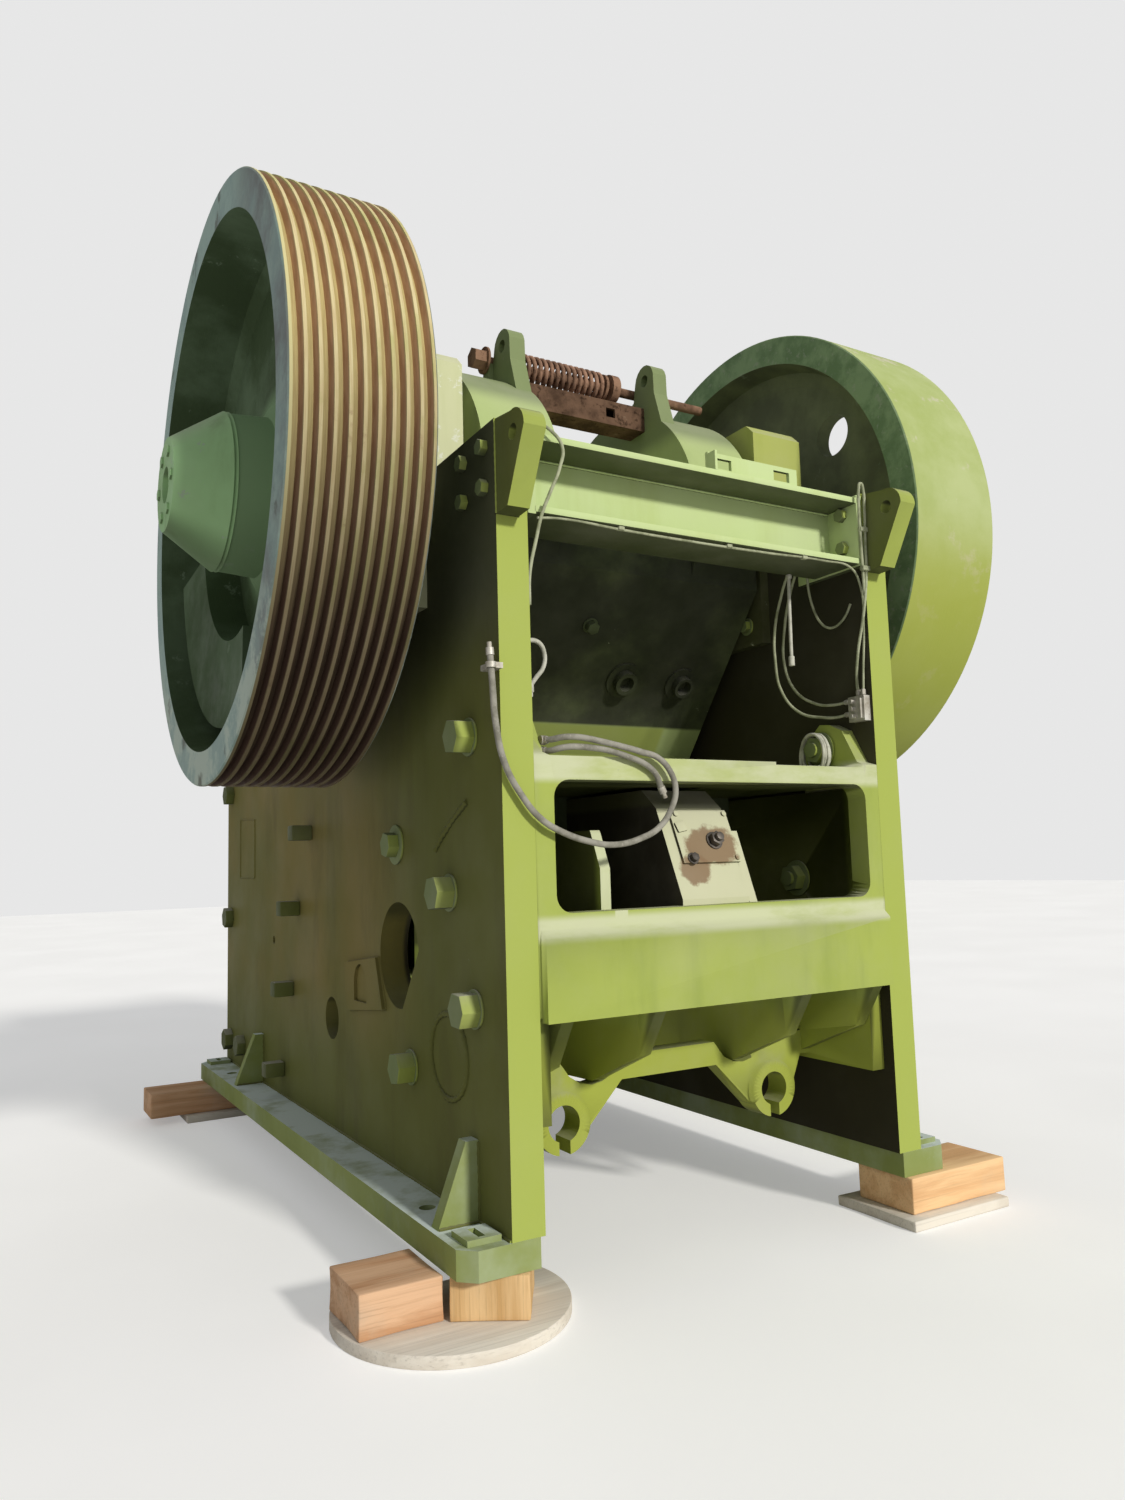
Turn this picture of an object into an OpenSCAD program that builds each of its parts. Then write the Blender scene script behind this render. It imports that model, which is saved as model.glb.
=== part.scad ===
// Single-toggle jaw crusher with a bolted frame, seen from its discharge end in the photograph.
// Millimetres, +Z up. X runs across the machine, Y from the rear (toggle end) to the feed end.
// The modules are drawn with Y from the rear edge of the side plates and Z from the underside of
// the foot rails, and the last section moves them so that the origin is under the centre.

/* [Frame] */
// Clear width between the two side plates
inner_w = 1160; // [900:10:1400]
// Thickness of a side plate
plate_t = 87; // [50:1:120]
// Length of the side plates
plate_len = 2870; // [2400:10:3200]
// Height of the side plate's top edge above the foot's underside
plate_top = 2020; // [1800:5:2300]
// Thickness of the foot rail
foot_t = 69; // [40:1:100]
// Outer reach of the foot rail from the side plate's inner face
foot_w = 210; // [150:5:300]

/* [Drive] */
// Distance of the shaft's centre line from the rear edge
shaft_y = 851; // [700:1:1000]
// Height of the shaft's centre line above the foot's underside
shaft_z = 2032; // [1900:1:2200]
// Flywheel rim radius
wheel_r = 862; // [700:2:1000]
// Inner face of a flywheel from the machine's centre plane
wheel_x0 = 818; // [780:1:900]
// Outer face of a flywheel from the machine's centre plane
wheel_x1 = 1180; // [1100:1:1300]
// Number of belt grooves in the left flywheel
groove_n = 10; // [6:1:12]
// Depth of a belt groove
groove_d = 27; // [15:1:35]
// Thickness of a flywheel rim
rim_t = 100; // [60:2:140]
// Half throw of the eccentric
throw = 16; // [10:1:25]

/* [Jaw] */
// Radius of the two bearing bosses of the pitman
boss_r = 485; // [400:5:520]
// Radius of the narrower neck between the bosses
neck_r = 300; // [240:5:380]
// Number of teeth across a jaw die
tooth_n = 13; // [9:1:17]

/* [Rear frame] */
// Width of the post at each side of the rear window
post_w = 54; // [40:2:100]
// Lower edge of the rear window
win_z0 = 802; // [750:2:850]
// Upper edge of the rear window
win_z1 = 1128; // [1080:2:1180]

/* [Packing] */
// Height of the timber packing that the feet stand on
pack_h = 130; // [100:5:200]

/* [Hidden] */
half_w = inner_w / 2;
plate_x1 = half_w + plate_t;
lug_reach = 154;
y_mid = (plate_len - lug_reach) / 2;
eps = 0.3;
main_fn = 96;
small_fn = 32;

// Faces that several modules share.
win_x = half_w - post_w;
rim_in = wheel_r - rim_t;
wheel_hub_x = wheel_x1 - 40;
shaft_x1 = wheel_x1 - 12;
web_x0 = wheel_x0 + 112;
web_x1 = wheel_x1 - 190;
front_y = plate_len - 50;
housing_z0 = shaft_z - 378;
housing_z1 = shaft_z + 378;
housing_half = 415;
tension_x = half_w - 216;
boss_x0 = 250;
boss_x1 = half_w - 75;
boss_bore = 170;
timber_h = pack_h - 30;

// Frame bolts through each side plate: [y, z] of the big hexagon heads.
frame_bolt_yz = [[177, 1247], [313, 855], [172, 572], [595, 371], [692, 990]];
// Rear beam bolts: [y, z].
beam_bolt_yz = [[178, 1962], [56, 1962], [56, 1858], [178, 1858]];
// Square heads that hold the cheek plates: [y, z].
cheek_bolt_yz = [[1555, 1058], [1711, 784], [1793, 483], [1919, 170]];
// Heads along the front edge that hold the front frame: [y, z].
front_bolt_yz = [for (b = [[80, 1279], [80, 716], [80, 170], [310, 171], [310, 1500], [80, 1780]])
    [plate_len - b[0], b[1]]];

// Chamber lines as [y, z] at the top and the bottom of each jaw face.
swing_top = [1370, 1842];
swing_bot = [1905, 250];
fixed_top = [2190, 1960];
fixed_bot = [2065, 250];
fixed_die_t = 68;
swing_die_t = 66;

// Spare tension rod that is stored on the pitman.
rod_r = 16;
rod_gap = 53;
rod_y = shaft_y + throw - 133;
rod_z = shaft_z + boss_r + rod_gap;

// Hold-down holes in the feet.
foot_hole_y = [350, plate_len - 370];
foot_hole_r = 21;

// Hose and line routes, chosen by hand, in machine coordinates.
hose_r = 8;
hose_route = [[-521, 34, 1229], [-513, 20, 1229], [-500, 4, 1232], [-480, -8, 1233],
    [-450, -16, 1231], [-400, -20, 1223],
    [-340, -22, 1212], [-281, -22, 1200], [-225, -22, 1184], [-188, -22, 1146],
    [-176, -22, 1103], [-188, -22, 1062], [-230, -24, 1010], [-292, -26, 980],
    [-372, -26, 965], [-440, -26, 973], [-523, -26, 999], [-577, -24, 1030],
    [-628, -22, 1088], [-668, -20, 1160], [-690, -18, 1264], [-694, -16, 1340], [-698, -14, 1420]];
hose_b_route = [[-521, 42, 1202], [-513, 28, 1202], [-500, 12, 1206], [-480, 0, 1209],
    [-450, -7, 1209], [-420, -11, 1207], [-390, -14, 1204], [-355, -15, 1197], [-320, -15, 1188],
    [-262, -15, 1168], [-232, -14, 1145], [-216, -13, 1112]];
line_left_route = [[-560, -20, 2022], [-520, -26, 2004], [-489, -26, 1968], [-498, -26, 1912],
    [-528, -26, 1842], [-549, -22, 1790], [-563, -10, 1720], [-574, 6, 1640], [-575, 10, 1560]];
line_beam_route = [[-548, 10, 1786], [-480, 6, 1792.2], [-300, 6, 1788], [-60, 6, 1786],
    [200, 6, 1788], [420, 6, 1792.2], [530, 6, 1782], [562, 8, 1744], [571, 10, 1600],
    [568, 18, 1480], [566, 22, 1399]];
line_right_route = [[566, -6, 1700], [556, -14, 1860], [549, -20, 1960], [551, -22, 2020],
    [560, -22, 2042], [570, -22, 2020], [572, -20, 1960], [572, -16, 1860], [572, -12, 1760],
    [559, -4, 1640], [558, 28, 1520], [565, 44, 1440], [569, 44, 1399]];
loop_a_route = [[575.7, 62, 1690], [572, 76, 1662], [566, 96, 1639], [559, 119, 1627],
    [552, 143, 1631], [546, 163, 1650], [541, 177, 1678], [536, 186, 1712], [532, 192, 1750],
    [530, 194.5, 1800], [530, 194.3, 1900]];
loop_b_route = [[500, 194.8, 1960], [500, 194.8, 1860], [502, 245, 1760], [506, 285, 1650],
    [512, 300, 1540], [524, 270, 1450], [540, 200, 1398], [550, 130, 1384], [560, 92, 1386],
    [560, 74.3, 1386]];
loop_c_route = [[470, 194.8, 1960], [470, 194.8, 1860], [471, 248, 1760], [472, 292, 1650],
    [474, 300, 1550], [484, 290, 1450], [506, 240, 1376], [530, 160, 1348], [548, 110, 1344],
    [560, 90, 1348], [560, 74.3, 1348]];

// Helpers
module box(x0, x1, y0, y1, z0, z1) {
    translate([x0, y0, z0]) cube([x1 - x0, y1 - y0, z1 - z0]);
}

// Extrudes a [y, z] outline from x0 to x1.
module yz_plate(x0, x1, pts) {
    translate([x0, 0, 0]) rotate([90, 0, 90]) linear_extrude(x1 - x0) polygon(pts);
}

// Extrudes an [x, z] outline from y0 to y1.
module xz_plate(y0, y1, pts) {
    translate([0, y1, 0]) rotate([90, 0, 0]) linear_extrude(y1 - y0) polygon(pts);
}

// Extrudes an [x, y] outline from z0 to z1.
module xy_plate(z0, z1, pts) {
    translate([0, 0, z0]) linear_extrude(z1 - z0) polygon(pts);
}

module xcyl(r, x0, x1, y, z, fn = small_fn) {
    translate([x0, y, z]) rotate([0, 90, 0]) cylinder(r = r, h = x1 - x0, $fn = fn);
}

module ycyl(r, x, y0, y1, z, fn = small_fn) {
    translate([x, y0, z]) rotate([-90, 0, 0]) cylinder(r = r, h = y1 - y0, $fn = fn);
}

module zcyl(r, x, y, z0, z1, fn = small_fn) {
    translate([x, y, z0]) cylinder(r = r, h = z1 - z0, $fn = fn);
}

// Cone along X from radius ra at x0 to rb at x1.
module xcone(ra, rb, x0, x1, y, z, fn = main_fn) {
    translate([x0, y, z]) rotate([0, 90, 0]) cylinder(r1 = ra, r2 = rb, h = x1 - x0, $fn = fn);
}

module mirrored() {
    mirror([1, 0, 0]) children();
}

module at_row() {
    translate([0, -y_mid, pack_h]) children();
}

function corner(cx, cy, r, a0, a1, n) =
    [for (i = [0:n]) let (a = a0 + (a1 - a0) * i / n) [cx + r * cos(a), cy + r * sin(a)]];

function round_rect(x0, x1, z0, z1, r, n) = concat(
    corner(x1 - r, z0 + r, r, -90, 0, n), corner(x1 - r, z1 - r, r, 0, 90, n),
    corner(x0 + r, z1 - r, r, 90, 180, n), corner(x0 + r, z0 + r, r, 180, 270, n));

// Swept tube, for hoses and lines
function unit(v) = v / norm(v);
function tangent(p, i) = unit(p[min(i + 1, len(p) - 1)] - p[max(i - 1, 0)]);
function ring_pts(p, i, r, k, ref) =
    let (t = tangent(p, i), s = unit(cross(t, ref)), u = cross(s, t))
    [for (j = [0:k - 1]) p[i] + r * (cos(360 * j / k) * s + sin(360 * j / k) * u)];

// The rings of a tube are turned from ref, a direction that the route never follows.
module tube(p, r, k = 8, ref = [0, 1, 0]) {
    n = len(p);
    pts = [for (i = [0:n - 1]) each ring_pts(p, i, r, k, ref)];
    sides = [for (i = [0:n - 2]) for (j = [0:k - 1])
        [i * k + j, i * k + (j + 1) % k, (i + 1) * k + (j + 1) % k, (i + 1) * k + j]];
    caps = [[for (j = [0:k - 1]) k - 1 - j], [for (j = [0:k - 1]) (n - 1) * k + j]];
    polyhedron(points = pts, faces = concat(sides, caps), convexity = 6);
}

// Frame

// Large opening in a side plate: a round hole with one straight side towards the rear.
module plate_opening(x0, x1) {
    difference() {
        xcyl(152, x0, x1, 684, 672, main_fn);
        translate([x0 - 1, 684, 672]) rotate([36.3, 0, 0]) translate([0, -260, -200])
            cube([x1 - x0 + 2, 151, 400]);
    }
}

// Side plate with its seat for the bearing housing, drawn for the right-hand side.
module plate_body(x0, x1) {
    difference() {
        yz_plate(x0, x1, [[0, foot_t], [plate_len, foot_t], [plate_len, plate_top - 190],
            [plate_len - 190, plate_top], [0, plate_top]]);
        box(x0 - 1, x1 + 1, shaft_y - housing_half - eps, shaft_y + housing_half + eps,
            housing_z0 - eps, plate_top + 1);
        plate_opening(x0 - 1, x1 + 1);
        xcyl(70, x0 - 1, x1 + 1, 1308, 426, main_fn);
        xcyl(16, x0 - 1, x1 + 1, 2051, 650);
        for (b = frame_bolt_yz) xcyl(24.05, x0 - 1, x1 + 1, b[0], b[1]);
        for (b = beam_bolt_yz) xcyl(12.05, x0 - 1, x1 + 1, b[0], b[1]);
        for (b = cheek_bolt_yz) xcyl(18.05, x0 - 1, x1 + 1, b[0], b[1]);
        for (b = front_bolt_yz) xcyl(24.05, x0 - 1, x1 + 1, b[0], b[1]);
    }
}

// The rectangular pad with a slot on the outer face.
module plate_pad(x1) {
    difference() {
        yz_plate(x1 - 1, x1 + 14, [[790, 508], [1120, 474], [1135, 622], [846, 656]]);
        box(x1 + 4, x1 + 15, 925, 1040, 512, 570);
        xcyl(57.5, x1 + 4, x1 + 15, 982.5, 570);
    }
}

module side_plate_right() {
    color("YellowGreen") union() {
        plate_body(half_w, plate_x1);
        plate_pad(plate_x1);
    }
}

module side_plate_left() {
    mirrored() side_plate_right();
}

// Foot rail with its two gussets, drawn for the right-hand side.
module foot_rail() {
    x0 = half_w + 13;
    x1 = half_w + foot_w;
    difference() {
        xy_plate(0, foot_t - eps, [[x0, 0], [x1 - 38, 0], [x1, 38], [x1, plate_len - 38],
            [x1 - 38, plate_len], [x0, plate_len]]);
        for (y = foot_hole_y) zcyl(foot_hole_r, x1 - 62, y, -1, foot_t + 1);
    }
    for (y = [190, plate_len - 640]) {
        translate([0, y + 20, 0]) rotate([90, 0, 0]) linear_extrude(40)
            polygon([[plate_x1 + eps, foot_t - eps], [x1 - 14, foot_t - eps],
                [plate_x1 + 34, 262], [plate_x1 + eps, 262]]);
    }
}

// Slotted pads welded on top of the foot at its corners.
module foot_pads() {
    x1 = half_w + foot_w;
    for (y = [76, plate_len - 76]) difference() {
        box(x1 - 112, x1 - 26, y - 44, y + 44, foot_t - 2, foot_t + 14);
        box(x1 - 78, x1 - 60, y - 30, y + 30, foot_t, foot_t + 20);
    }
}

module foot_rail_right() {
    color("OliveDrab") union() {
        foot_rail();
        foot_pads();
    }
}

module foot_rail_left() {
    mirrored() foot_rail_right();
}

// Edges of a tension rod ear on the cross member as [x from the rod, z]: lower from its outer side,
// upper from its outer side.
ear_lower = [[-127, 318], [-76, 200], [-41, 170], [34, 165], [74, 195], [199, 322]];
ear_upper = [[-3, 388], [-30, 350], [-64, 328], [-99, 320], [-134, 325], [-169, 342], [-204, 388]];

// Cast rear frame: window, sill, deep lower band, ribs and the eared cross member.
module rear_frame() {
    fx = half_w - eps;
    color("YellowGreen") difference() {
        union() {
            // window wall with the top band and side stiles
            xz_plate(0, 70, [[-fx, 560], [fx, 560], [fx, 1187], [-fx, 1187]]);
            // side flanges that the frame bolts pass through
            for (s = [-1, 1]) {
                box(min(s * (fx - 46), s * fx), max(s * (fx - 46), s * fx), 40, 780, 300, 1120);
                yz_plate(s > 0 ? fx - 44 : -fx, s > 0 ? fx : -fx + 44,
                    [[0, 1080], [0, 1187], [34, 1198], [91, 1300], [140, 1322], [181, 1327],
                    [240, 1280], [260, 1187], [260, 1080]]);
            }
            // sloping sill and the deep lower band
            yz_plate(-fx + 8, fx - 8, [[70, 560], [70, win_z0], [40, win_z0], [-25, 742],
                [-25, 548], [60, 548]]);
            // top and bottom walls of the box behind the window
            box(-fx, fx, 60, 700, 1130, 1187);
            box(-fx, fx, 60, 640, 560, 620);
            // back wall of the lower box
            box(-fx, fx, 560, 640, 300, 620);
            // vertical ribs under the band
            for (x = [-half_w + 48, -262, 228, half_w - 82])
                yz_plate(x, x + 34, [[-20, 552], [60, 430], [298, 330], [560, 320], [560, 570],
                    [-20, 570]]);
            // cross member with the two tension rod ears
            xz_plate(298, 358, concat([[-fx, 388], [-fx, 318]],
                [for (q = ear_lower) [q[0] - tension_x, q[1]]],
                [for (i = [len(ear_lower) - 1:-1:0]) [tension_x - ear_lower[i][0], ear_lower[i][1]]],
                [[fx, 318], [fx, 388]],
                [for (q = ear_upper) [tension_x + q[0], q[1]]],
                [for (i = [len(ear_upper) - 1:-1:0]) [-tension_x - ear_upper[i][0], ear_upper[i][1]]]));
            for (x = [-tension_x, tension_x]) ycyl(82, x, 278, 358, 234, main_fn);
            // gusset ribs on the sill
            for (x = [-356, 326]) yz_plate(x, x + 30, [[20, 790], [27, 806], [112, 1000],
                [240, 1180], [300, 1180], [300, 600], [60, 600]]);
        }
        // window
        xz_plate(-40, 71, round_rect(-win_x, win_x, win_z0, win_z1, 44, 6));
        // tension rod holes, open at the bottom
        for (x = [-tension_x, tension_x]) {
            ycyl(48, x, 260, 380, 234, main_fn);
            box(x - 17, x + 17, 260, 380, 140, 234);
        }
        // frame bolt holes
        for (b = frame_bolt_yz) {
            xcyl(24.05, -fx - 1, -fx + 60, b[0], b[1]);
            xcyl(24.05, fx - 60, fx + 1, b[0], b[1]);
        }
        // the top band's small step and the chamfered lower corners
        box(189, fx - 60, -1, 71, 1178, 1190);
    }
}

// Point at height z on the line through top and bot.
function line_at(top, bot, z) = bot + (top - bot) * (z - bot[1]) / (top[1] - bot[1]);

// Set-back in y of the seat behind a die of the given thickness.
function seat_back(top, bot, thick) = (thick + eps) * norm(top - bot) / (top[1] - bot[1]);
fixed_back = seat_back(fixed_top, fixed_bot, fixed_die_t);
swing_back = seat_back(swing_top, swing_bot, swing_die_t);

// Outer face of the front wall, as [y, z] points from the bottom up.
front_wall = [[fixed_bot[0] + 160, 240], [fixed_top[0] + 200, 1250], [fixed_top[0] + 200, 1990]];
front_shelf_z = [240, 800, 1360, 1900];
front_rib_x = [[-320, -280], [-20, 20], [280, 320]];
front_flange_x = half_w - eps - 50;

// Depth in y of the front wall's outer face at one height.
function front_wall_y(z) = z < front_wall[1][1] ? line_at(front_wall[1], front_wall[0], z)[0]
    : front_wall[1][0];

// Upright of the front frame between two places in x. It starts at a gap from the wall's face,
// and a negative gap lets it into the wall.
module front_upright(x0, x1, gap) {
    yz_plate(x0, x1, [[front_wall[0][0] + gap, 240], [front_y - 40, 240], [front_y + 30, 420],
        [front_y + 30, 1900], [front_y - 40, 1970], [front_wall[1][0] + gap, 1970],
        [front_wall[1][0] + gap, front_wall[1][1]]]);
}

// Fixed jaw wall at the feed end, with the two flanges that are bolted to the side plates.
module front_frame() {
    fx = half_w - eps;
    color("YellowGreen") difference() {
        union() {
            yz_plate(-fx, fx, [[fixed_bot[0] + 60, 240], front_wall[0], front_wall[1], front_wall[2],
                [fixed_top[0] + 60, 1990]]);
            front_upright(-fx, -front_flange_x, -50);
            front_upright(front_flange_x, fx, -50);
        }
        for (b = front_bolt_yz) {
            xcyl(24.05, -fx - 1, -fx + 60, b[0], b[1]);
            xcyl(24.05, fx - 60, fx + 1, b[0], b[1]);
        }
        // the chamber side stays clear of the die
        translate([0, fixed_back, 0]) yz_plate(-fx - 1, fx + 1, [line_at(fixed_top, fixed_bot, 200)
            - [400, 0], line_at(fixed_top, fixed_bot, 200), line_at(fixed_top, fixed_bot, 2100),
            line_at(fixed_top, fixed_bot, 2100) - [400, 0]]);
    }
}

// Three stiffening ribs that stand on the front wall.
module front_ribs() {
    color("YellowGreen") for (x = front_rib_x) front_upright(x[0], x[1], eps);
}

// Shelves between the ribs and flanges, one row at each height.
module front_shelves() {
    edge = concat([-front_flange_x], [for (x = front_rib_x) each x], [front_flange_x]);
    color("YellowGreen") for (z = front_shelf_z, i = [0:2:len(edge) - 2])
        yz_plate(edge[i] + eps, edge[i + 1] - eps, [[front_wall_y(z) + eps, z], [front_y, z],
            [front_y, z + 70], [front_wall_y(z + 70) + eps, z + 70]]);
}

// Corrugated die: vertical teeth from x0 to x1 along a face line from top to bottom [y, z].
module die(top, bot, thick, sign) {
    pitch = (inner_w - 90) / tooth_n;
    x_first = -(inner_w - 90) / 2;
    h = norm(top - bot);
    ang = atan2(top[0] - bot[0], top[1] - bot[1]);
    prof = concat([[x_first, thick]],
        [for (i = [0:tooth_n - 1]) each [[x_first + pitch * (i + 0.02), 26],
            [x_first + pitch * (i + 0.28), 0], [x_first + pitch * (i + 0.72), 0],
            [x_first + pitch * (i + 0.98), 26]]],
        [[-x_first, thick]]);
    translate([0, bot[0], bot[1]]) rotate([-ang, 0, 0])
        linear_extrude(h) scale([1, sign]) polygon(prof);
}

module fixed_jaw_die() {
    color("DimGray") die(fixed_top, fixed_bot, fixed_die_t, 1);
}

module swing_jaw_die() {
    color("DimGray") die(swing_top, swing_bot, swing_die_t, -1);
}

// Cheek plate that lines the chamber on one side, drawn for the right-hand side.
module cheek_plate_right() {
    color("SaddleBrown") difference() {
        yz_plate(half_w - 32, half_w - eps, [[1545, 1960], [2170, 1960], [2062, 330],
            [1990, 330], [1980, 140], [1860, 140], [1500, 1100], [1420, 1500]]);
        for (b = cheek_bolt_yz) xcyl(18.05, half_w - 40, half_w + 1, b[0], b[1]);
    }
}

module cheek_plate_left() {
    mirrored() cheek_plate_right();
}

// Cross beam at the top of the rear end: a channel open to the rear with bolted end plates.
module rear_beam() {
    color("YellowGreen") difference() {
        union() {
            box(-half_w + 20, half_w - 20, -4, 190, 1985, 2003);
            box(-half_w + 20, half_w - 20, -4, 190, 1796, 1814);
            box(-half_w + 20, half_w - 20, 172, 190, 1796, 2003);
            for (s = [-1, 1])
                box(min(s * (half_w - 24), s * (half_w - eps)), max(s * (half_w - 24), s * (half_w - eps)),
                    -4, 264, 1790, 2012);
            for (x = [-half_w + 110, half_w - 140]) box(x, x + 14, 4, 180, 1800, 2000);
        }
        for (b = beam_bolt_yz) {
            xcyl(12.05, -half_w - 1, -half_w + 30, b[0], b[1]);
            xcyl(12.05, half_w - 30, half_w + 1, b[0], b[1]);
        }
    }
}

// Slotted bracket strip that stands on the rear beam.
module beam_bracket() {
    color("YellowGreen") difference() {
        union() {
            box(20, 352, 30, 42, 2003 + eps, 2066);
            box(20, 28, -2, 42, 2003 + eps, 2060);
        }
        box(44, 104, 20, 50, 2022, 2052);
        box(262, 322, 20, 50, 2022, 2052);
    }
}

// Lifting lug on the rear edge of a side plate: outline in [y, z], seen from the side.
module lug(x0, x1) {
    r = 56;
    cy = r - lug_reach;
    cz = 1948;
    difference() {
        yz_plate(x0, x1, concat([[-eps, 1775], [-eps, 2016]],
            corner(cy, cz, r, 80, 180, 8), [[-62, 1778]]));
        xcyl(20, x0 - 1, x1 + 1, cy + 2, cz, small_fn);
    }
}

module lifting_lug_left() {
    color("OliveDrab") lug(-plate_x1, -plate_x1 + 60);
}

module lifting_lug_right() {
    color("OliveDrab") lug(half_w, half_w + 60);
}

// Bearing housing straddling the side plate, drawn for the right-hand side.
module bearing_housing_right() {
    color("YellowGreen") difference() {
        union() {
            for (x = [[half_w - 33, half_w - eps, 14], [half_w - eps, plate_x1 + eps, 0],
                [plate_x1 + eps, plate_x1 + 90, 14]])
                box(x[0], x[1], shaft_y - housing_half, shaft_y + housing_half, housing_z0 - x[2],
                    housing_z1);
        }
        xcyl(190, half_w - 40, plate_x1 + 100, shaft_y, shaft_z, main_fn);
        // chamfered upper corners
        for (m = [0, 1]) translate([0, shaft_y, 0]) mirror([0, m, 0]) translate([0, -shaft_y, 0])
            yz_plate(half_w - 40, plate_x1 + 100, [[shaft_y + housing_half - 35, housing_z1 + 1],
                [shaft_y + housing_half + 1, housing_z1 - 35],
                [shaft_y + housing_half + 1, housing_z1 + 1]]);
    }
}

module bearing_housing_left() {
    mirrored() bearing_housing_right();
}

// Hexagon head on the outer face at [y, z].
module hex_head(x0, af, h, b) {
    translate([x0, b[0], b[1]]) rotate([0, 90, 0]) cylinder(d = af / cos(30), h = h, $fn = 6);
}

// All bolts of one side, drawn for the right-hand side.
module frame_bolts_right() {
    color("DarkOliveGreen") union() {
        for (b = frame_bolt_yz) {
            inner = b[1] > 700 && b[0] < 600;
            xcyl(24, inner ? half_w - 94 : b[0] > 600 ? half_w - 110 : half_w - 40, plate_x1 + 4,
                b[0], b[1]);
            xcyl(58, plate_x1 + eps, plate_x1 + 10, b[0], b[1]);
            hex_head(plate_x1 + 8, 76, 36, b);
            if (inner) {
                xcyl(56, half_w - 62, half_w - 46 - 2 * eps, b[0], b[1]);
                hex_head(half_w - 92, 76, 34, b);
            }
        }
        for (b = beam_bolt_yz) {
            near = b[0] < 100;
            xcyl(12, near ? half_w - 40 : half_w - 23, plate_x1 + 4, b[0], b[1]);
            hex_head(plate_x1 + eps, 38, 18, b);
            if (near) hex_head(half_w - 44, 38, 19, b);
        }
        for (b = cheek_bolt_yz) {
            xcyl(18, half_w - 28, plate_x1 + 4, b[0], b[1]);
            box(plate_x1 + eps, plate_x1 + 26, b[0] - 34, b[0] + 34, b[1] - 26, b[1] + 26);
        }
        for (b = front_bolt_yz) {
            xcyl(24, half_w - 48, plate_x1 + 4, b[0], b[1]);
            hex_head(plate_x1 + eps, 76, 40, b);
        }
    }
}

module frame_bolts_left() {
    mirrored() frame_bolts_right();
}

// Inclined adjusting box that shows through the rear window, with its cover and guide rail.
module adjuster() {
    color("Wheat") union() {
        yz_plate(-118, 108, [[44, win_z0 + eps], [70 + eps, win_z0 + eps], [70 + eps, 620 + eps],
            [640, 620 + eps], [640, 1120], [220, 1120], [152, 1066], [44, 818]]);
        // guide rail on the right
        yz_plate(107, 134, [[42, win_z0 + eps], [110, win_z0 + eps], [190, 1000], [118, 1000]]);
    }
}

// Beam that holds the toggle seat, behind the rear window.
module toggle_beam() {
    color("Olive") difference() {
        box(-half_w + 46 + 2 * eps, half_w - 46 - 2 * eps, 640 + eps, 740, 820, 1130 - eps);
        xcyl(30, -half_w, half_w, 744, 960, main_fn);
        for (s = [-1, 1])
            xcyl(24.05, s > 0 ? half_w - 112 : -half_w, s > 0 ? half_w : -half_w + 112,
                frame_bolt_yz[4][0], frame_bolt_yz[4][1]);
    }
}

module grease_block() {
    color("Gainsboro") union() {
        box(half_w - 26, half_w - eps, 10, 74, 1322, 1398);
        box(half_w - 34, half_w - 26, 18, 30, 1330, 1390);
        for (z = [1338, 1360, 1382]) xcyl(7, half_w - 42, half_w - 26, 52, z, 16);
    }
}

// Timber packing under the four ends of the foot rails.
module packing_timbers() {
    color("Tan") union() {
        // rear left: a baulk, a second one set askew, and a round board under both
        box(-half_w - 420, -half_w - 217, 90, 300, -timber_h, 0);
        translate([-half_w - 212, 76, 0]) rotate([0, 0, -31]) box(0, 185, 0, 200, -timber_h, 0);
        difference() {
            zcyl(330, -half_w - 140, 240, -pack_h, -timber_h - eps, 48);
            box(-half_w - 520, -half_w + 280, 310, 800, -pack_h - 1, -timber_h + 10);
        }
        // rear right
        box(half_w + 20, half_w + 420, -20, 190, -timber_h, 0);
        box(half_w - 20, half_w + 380, -60, 240, -pack_h, -timber_h - eps);
        // front pair
        for (s = [-1, 1]) scale([s, 1, 1]) {
            box(half_w + 20, half_w + 460, plate_len - 270, plate_len - 70, -timber_h, 0);
            box(half_w + 40, half_w + 320, plate_len - 310, plate_len - 20, -pack_h, -timber_h - eps);
        }
    }
}

// Drive

module eccentric_shaft() {
    color("Silver") union() {
        xcyl(150, -shaft_x1, -half_w + 40, shaft_y, shaft_z, main_fn);
        xcyl(150, half_w - 40, shaft_x1, shaft_y, shaft_z, main_fn);
        xcyl(189.95, -plate_x1 - 90, -half_w + 33, shaft_y, shaft_z, main_fn);
        xcyl(189.95, half_w - 33, plate_x1 + 90, shaft_y, shaft_z, main_fn);
        xcyl(boss_bore, -half_w + 33, half_w - 33, shaft_y + throw, shaft_z, main_fn);
    }
}

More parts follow.
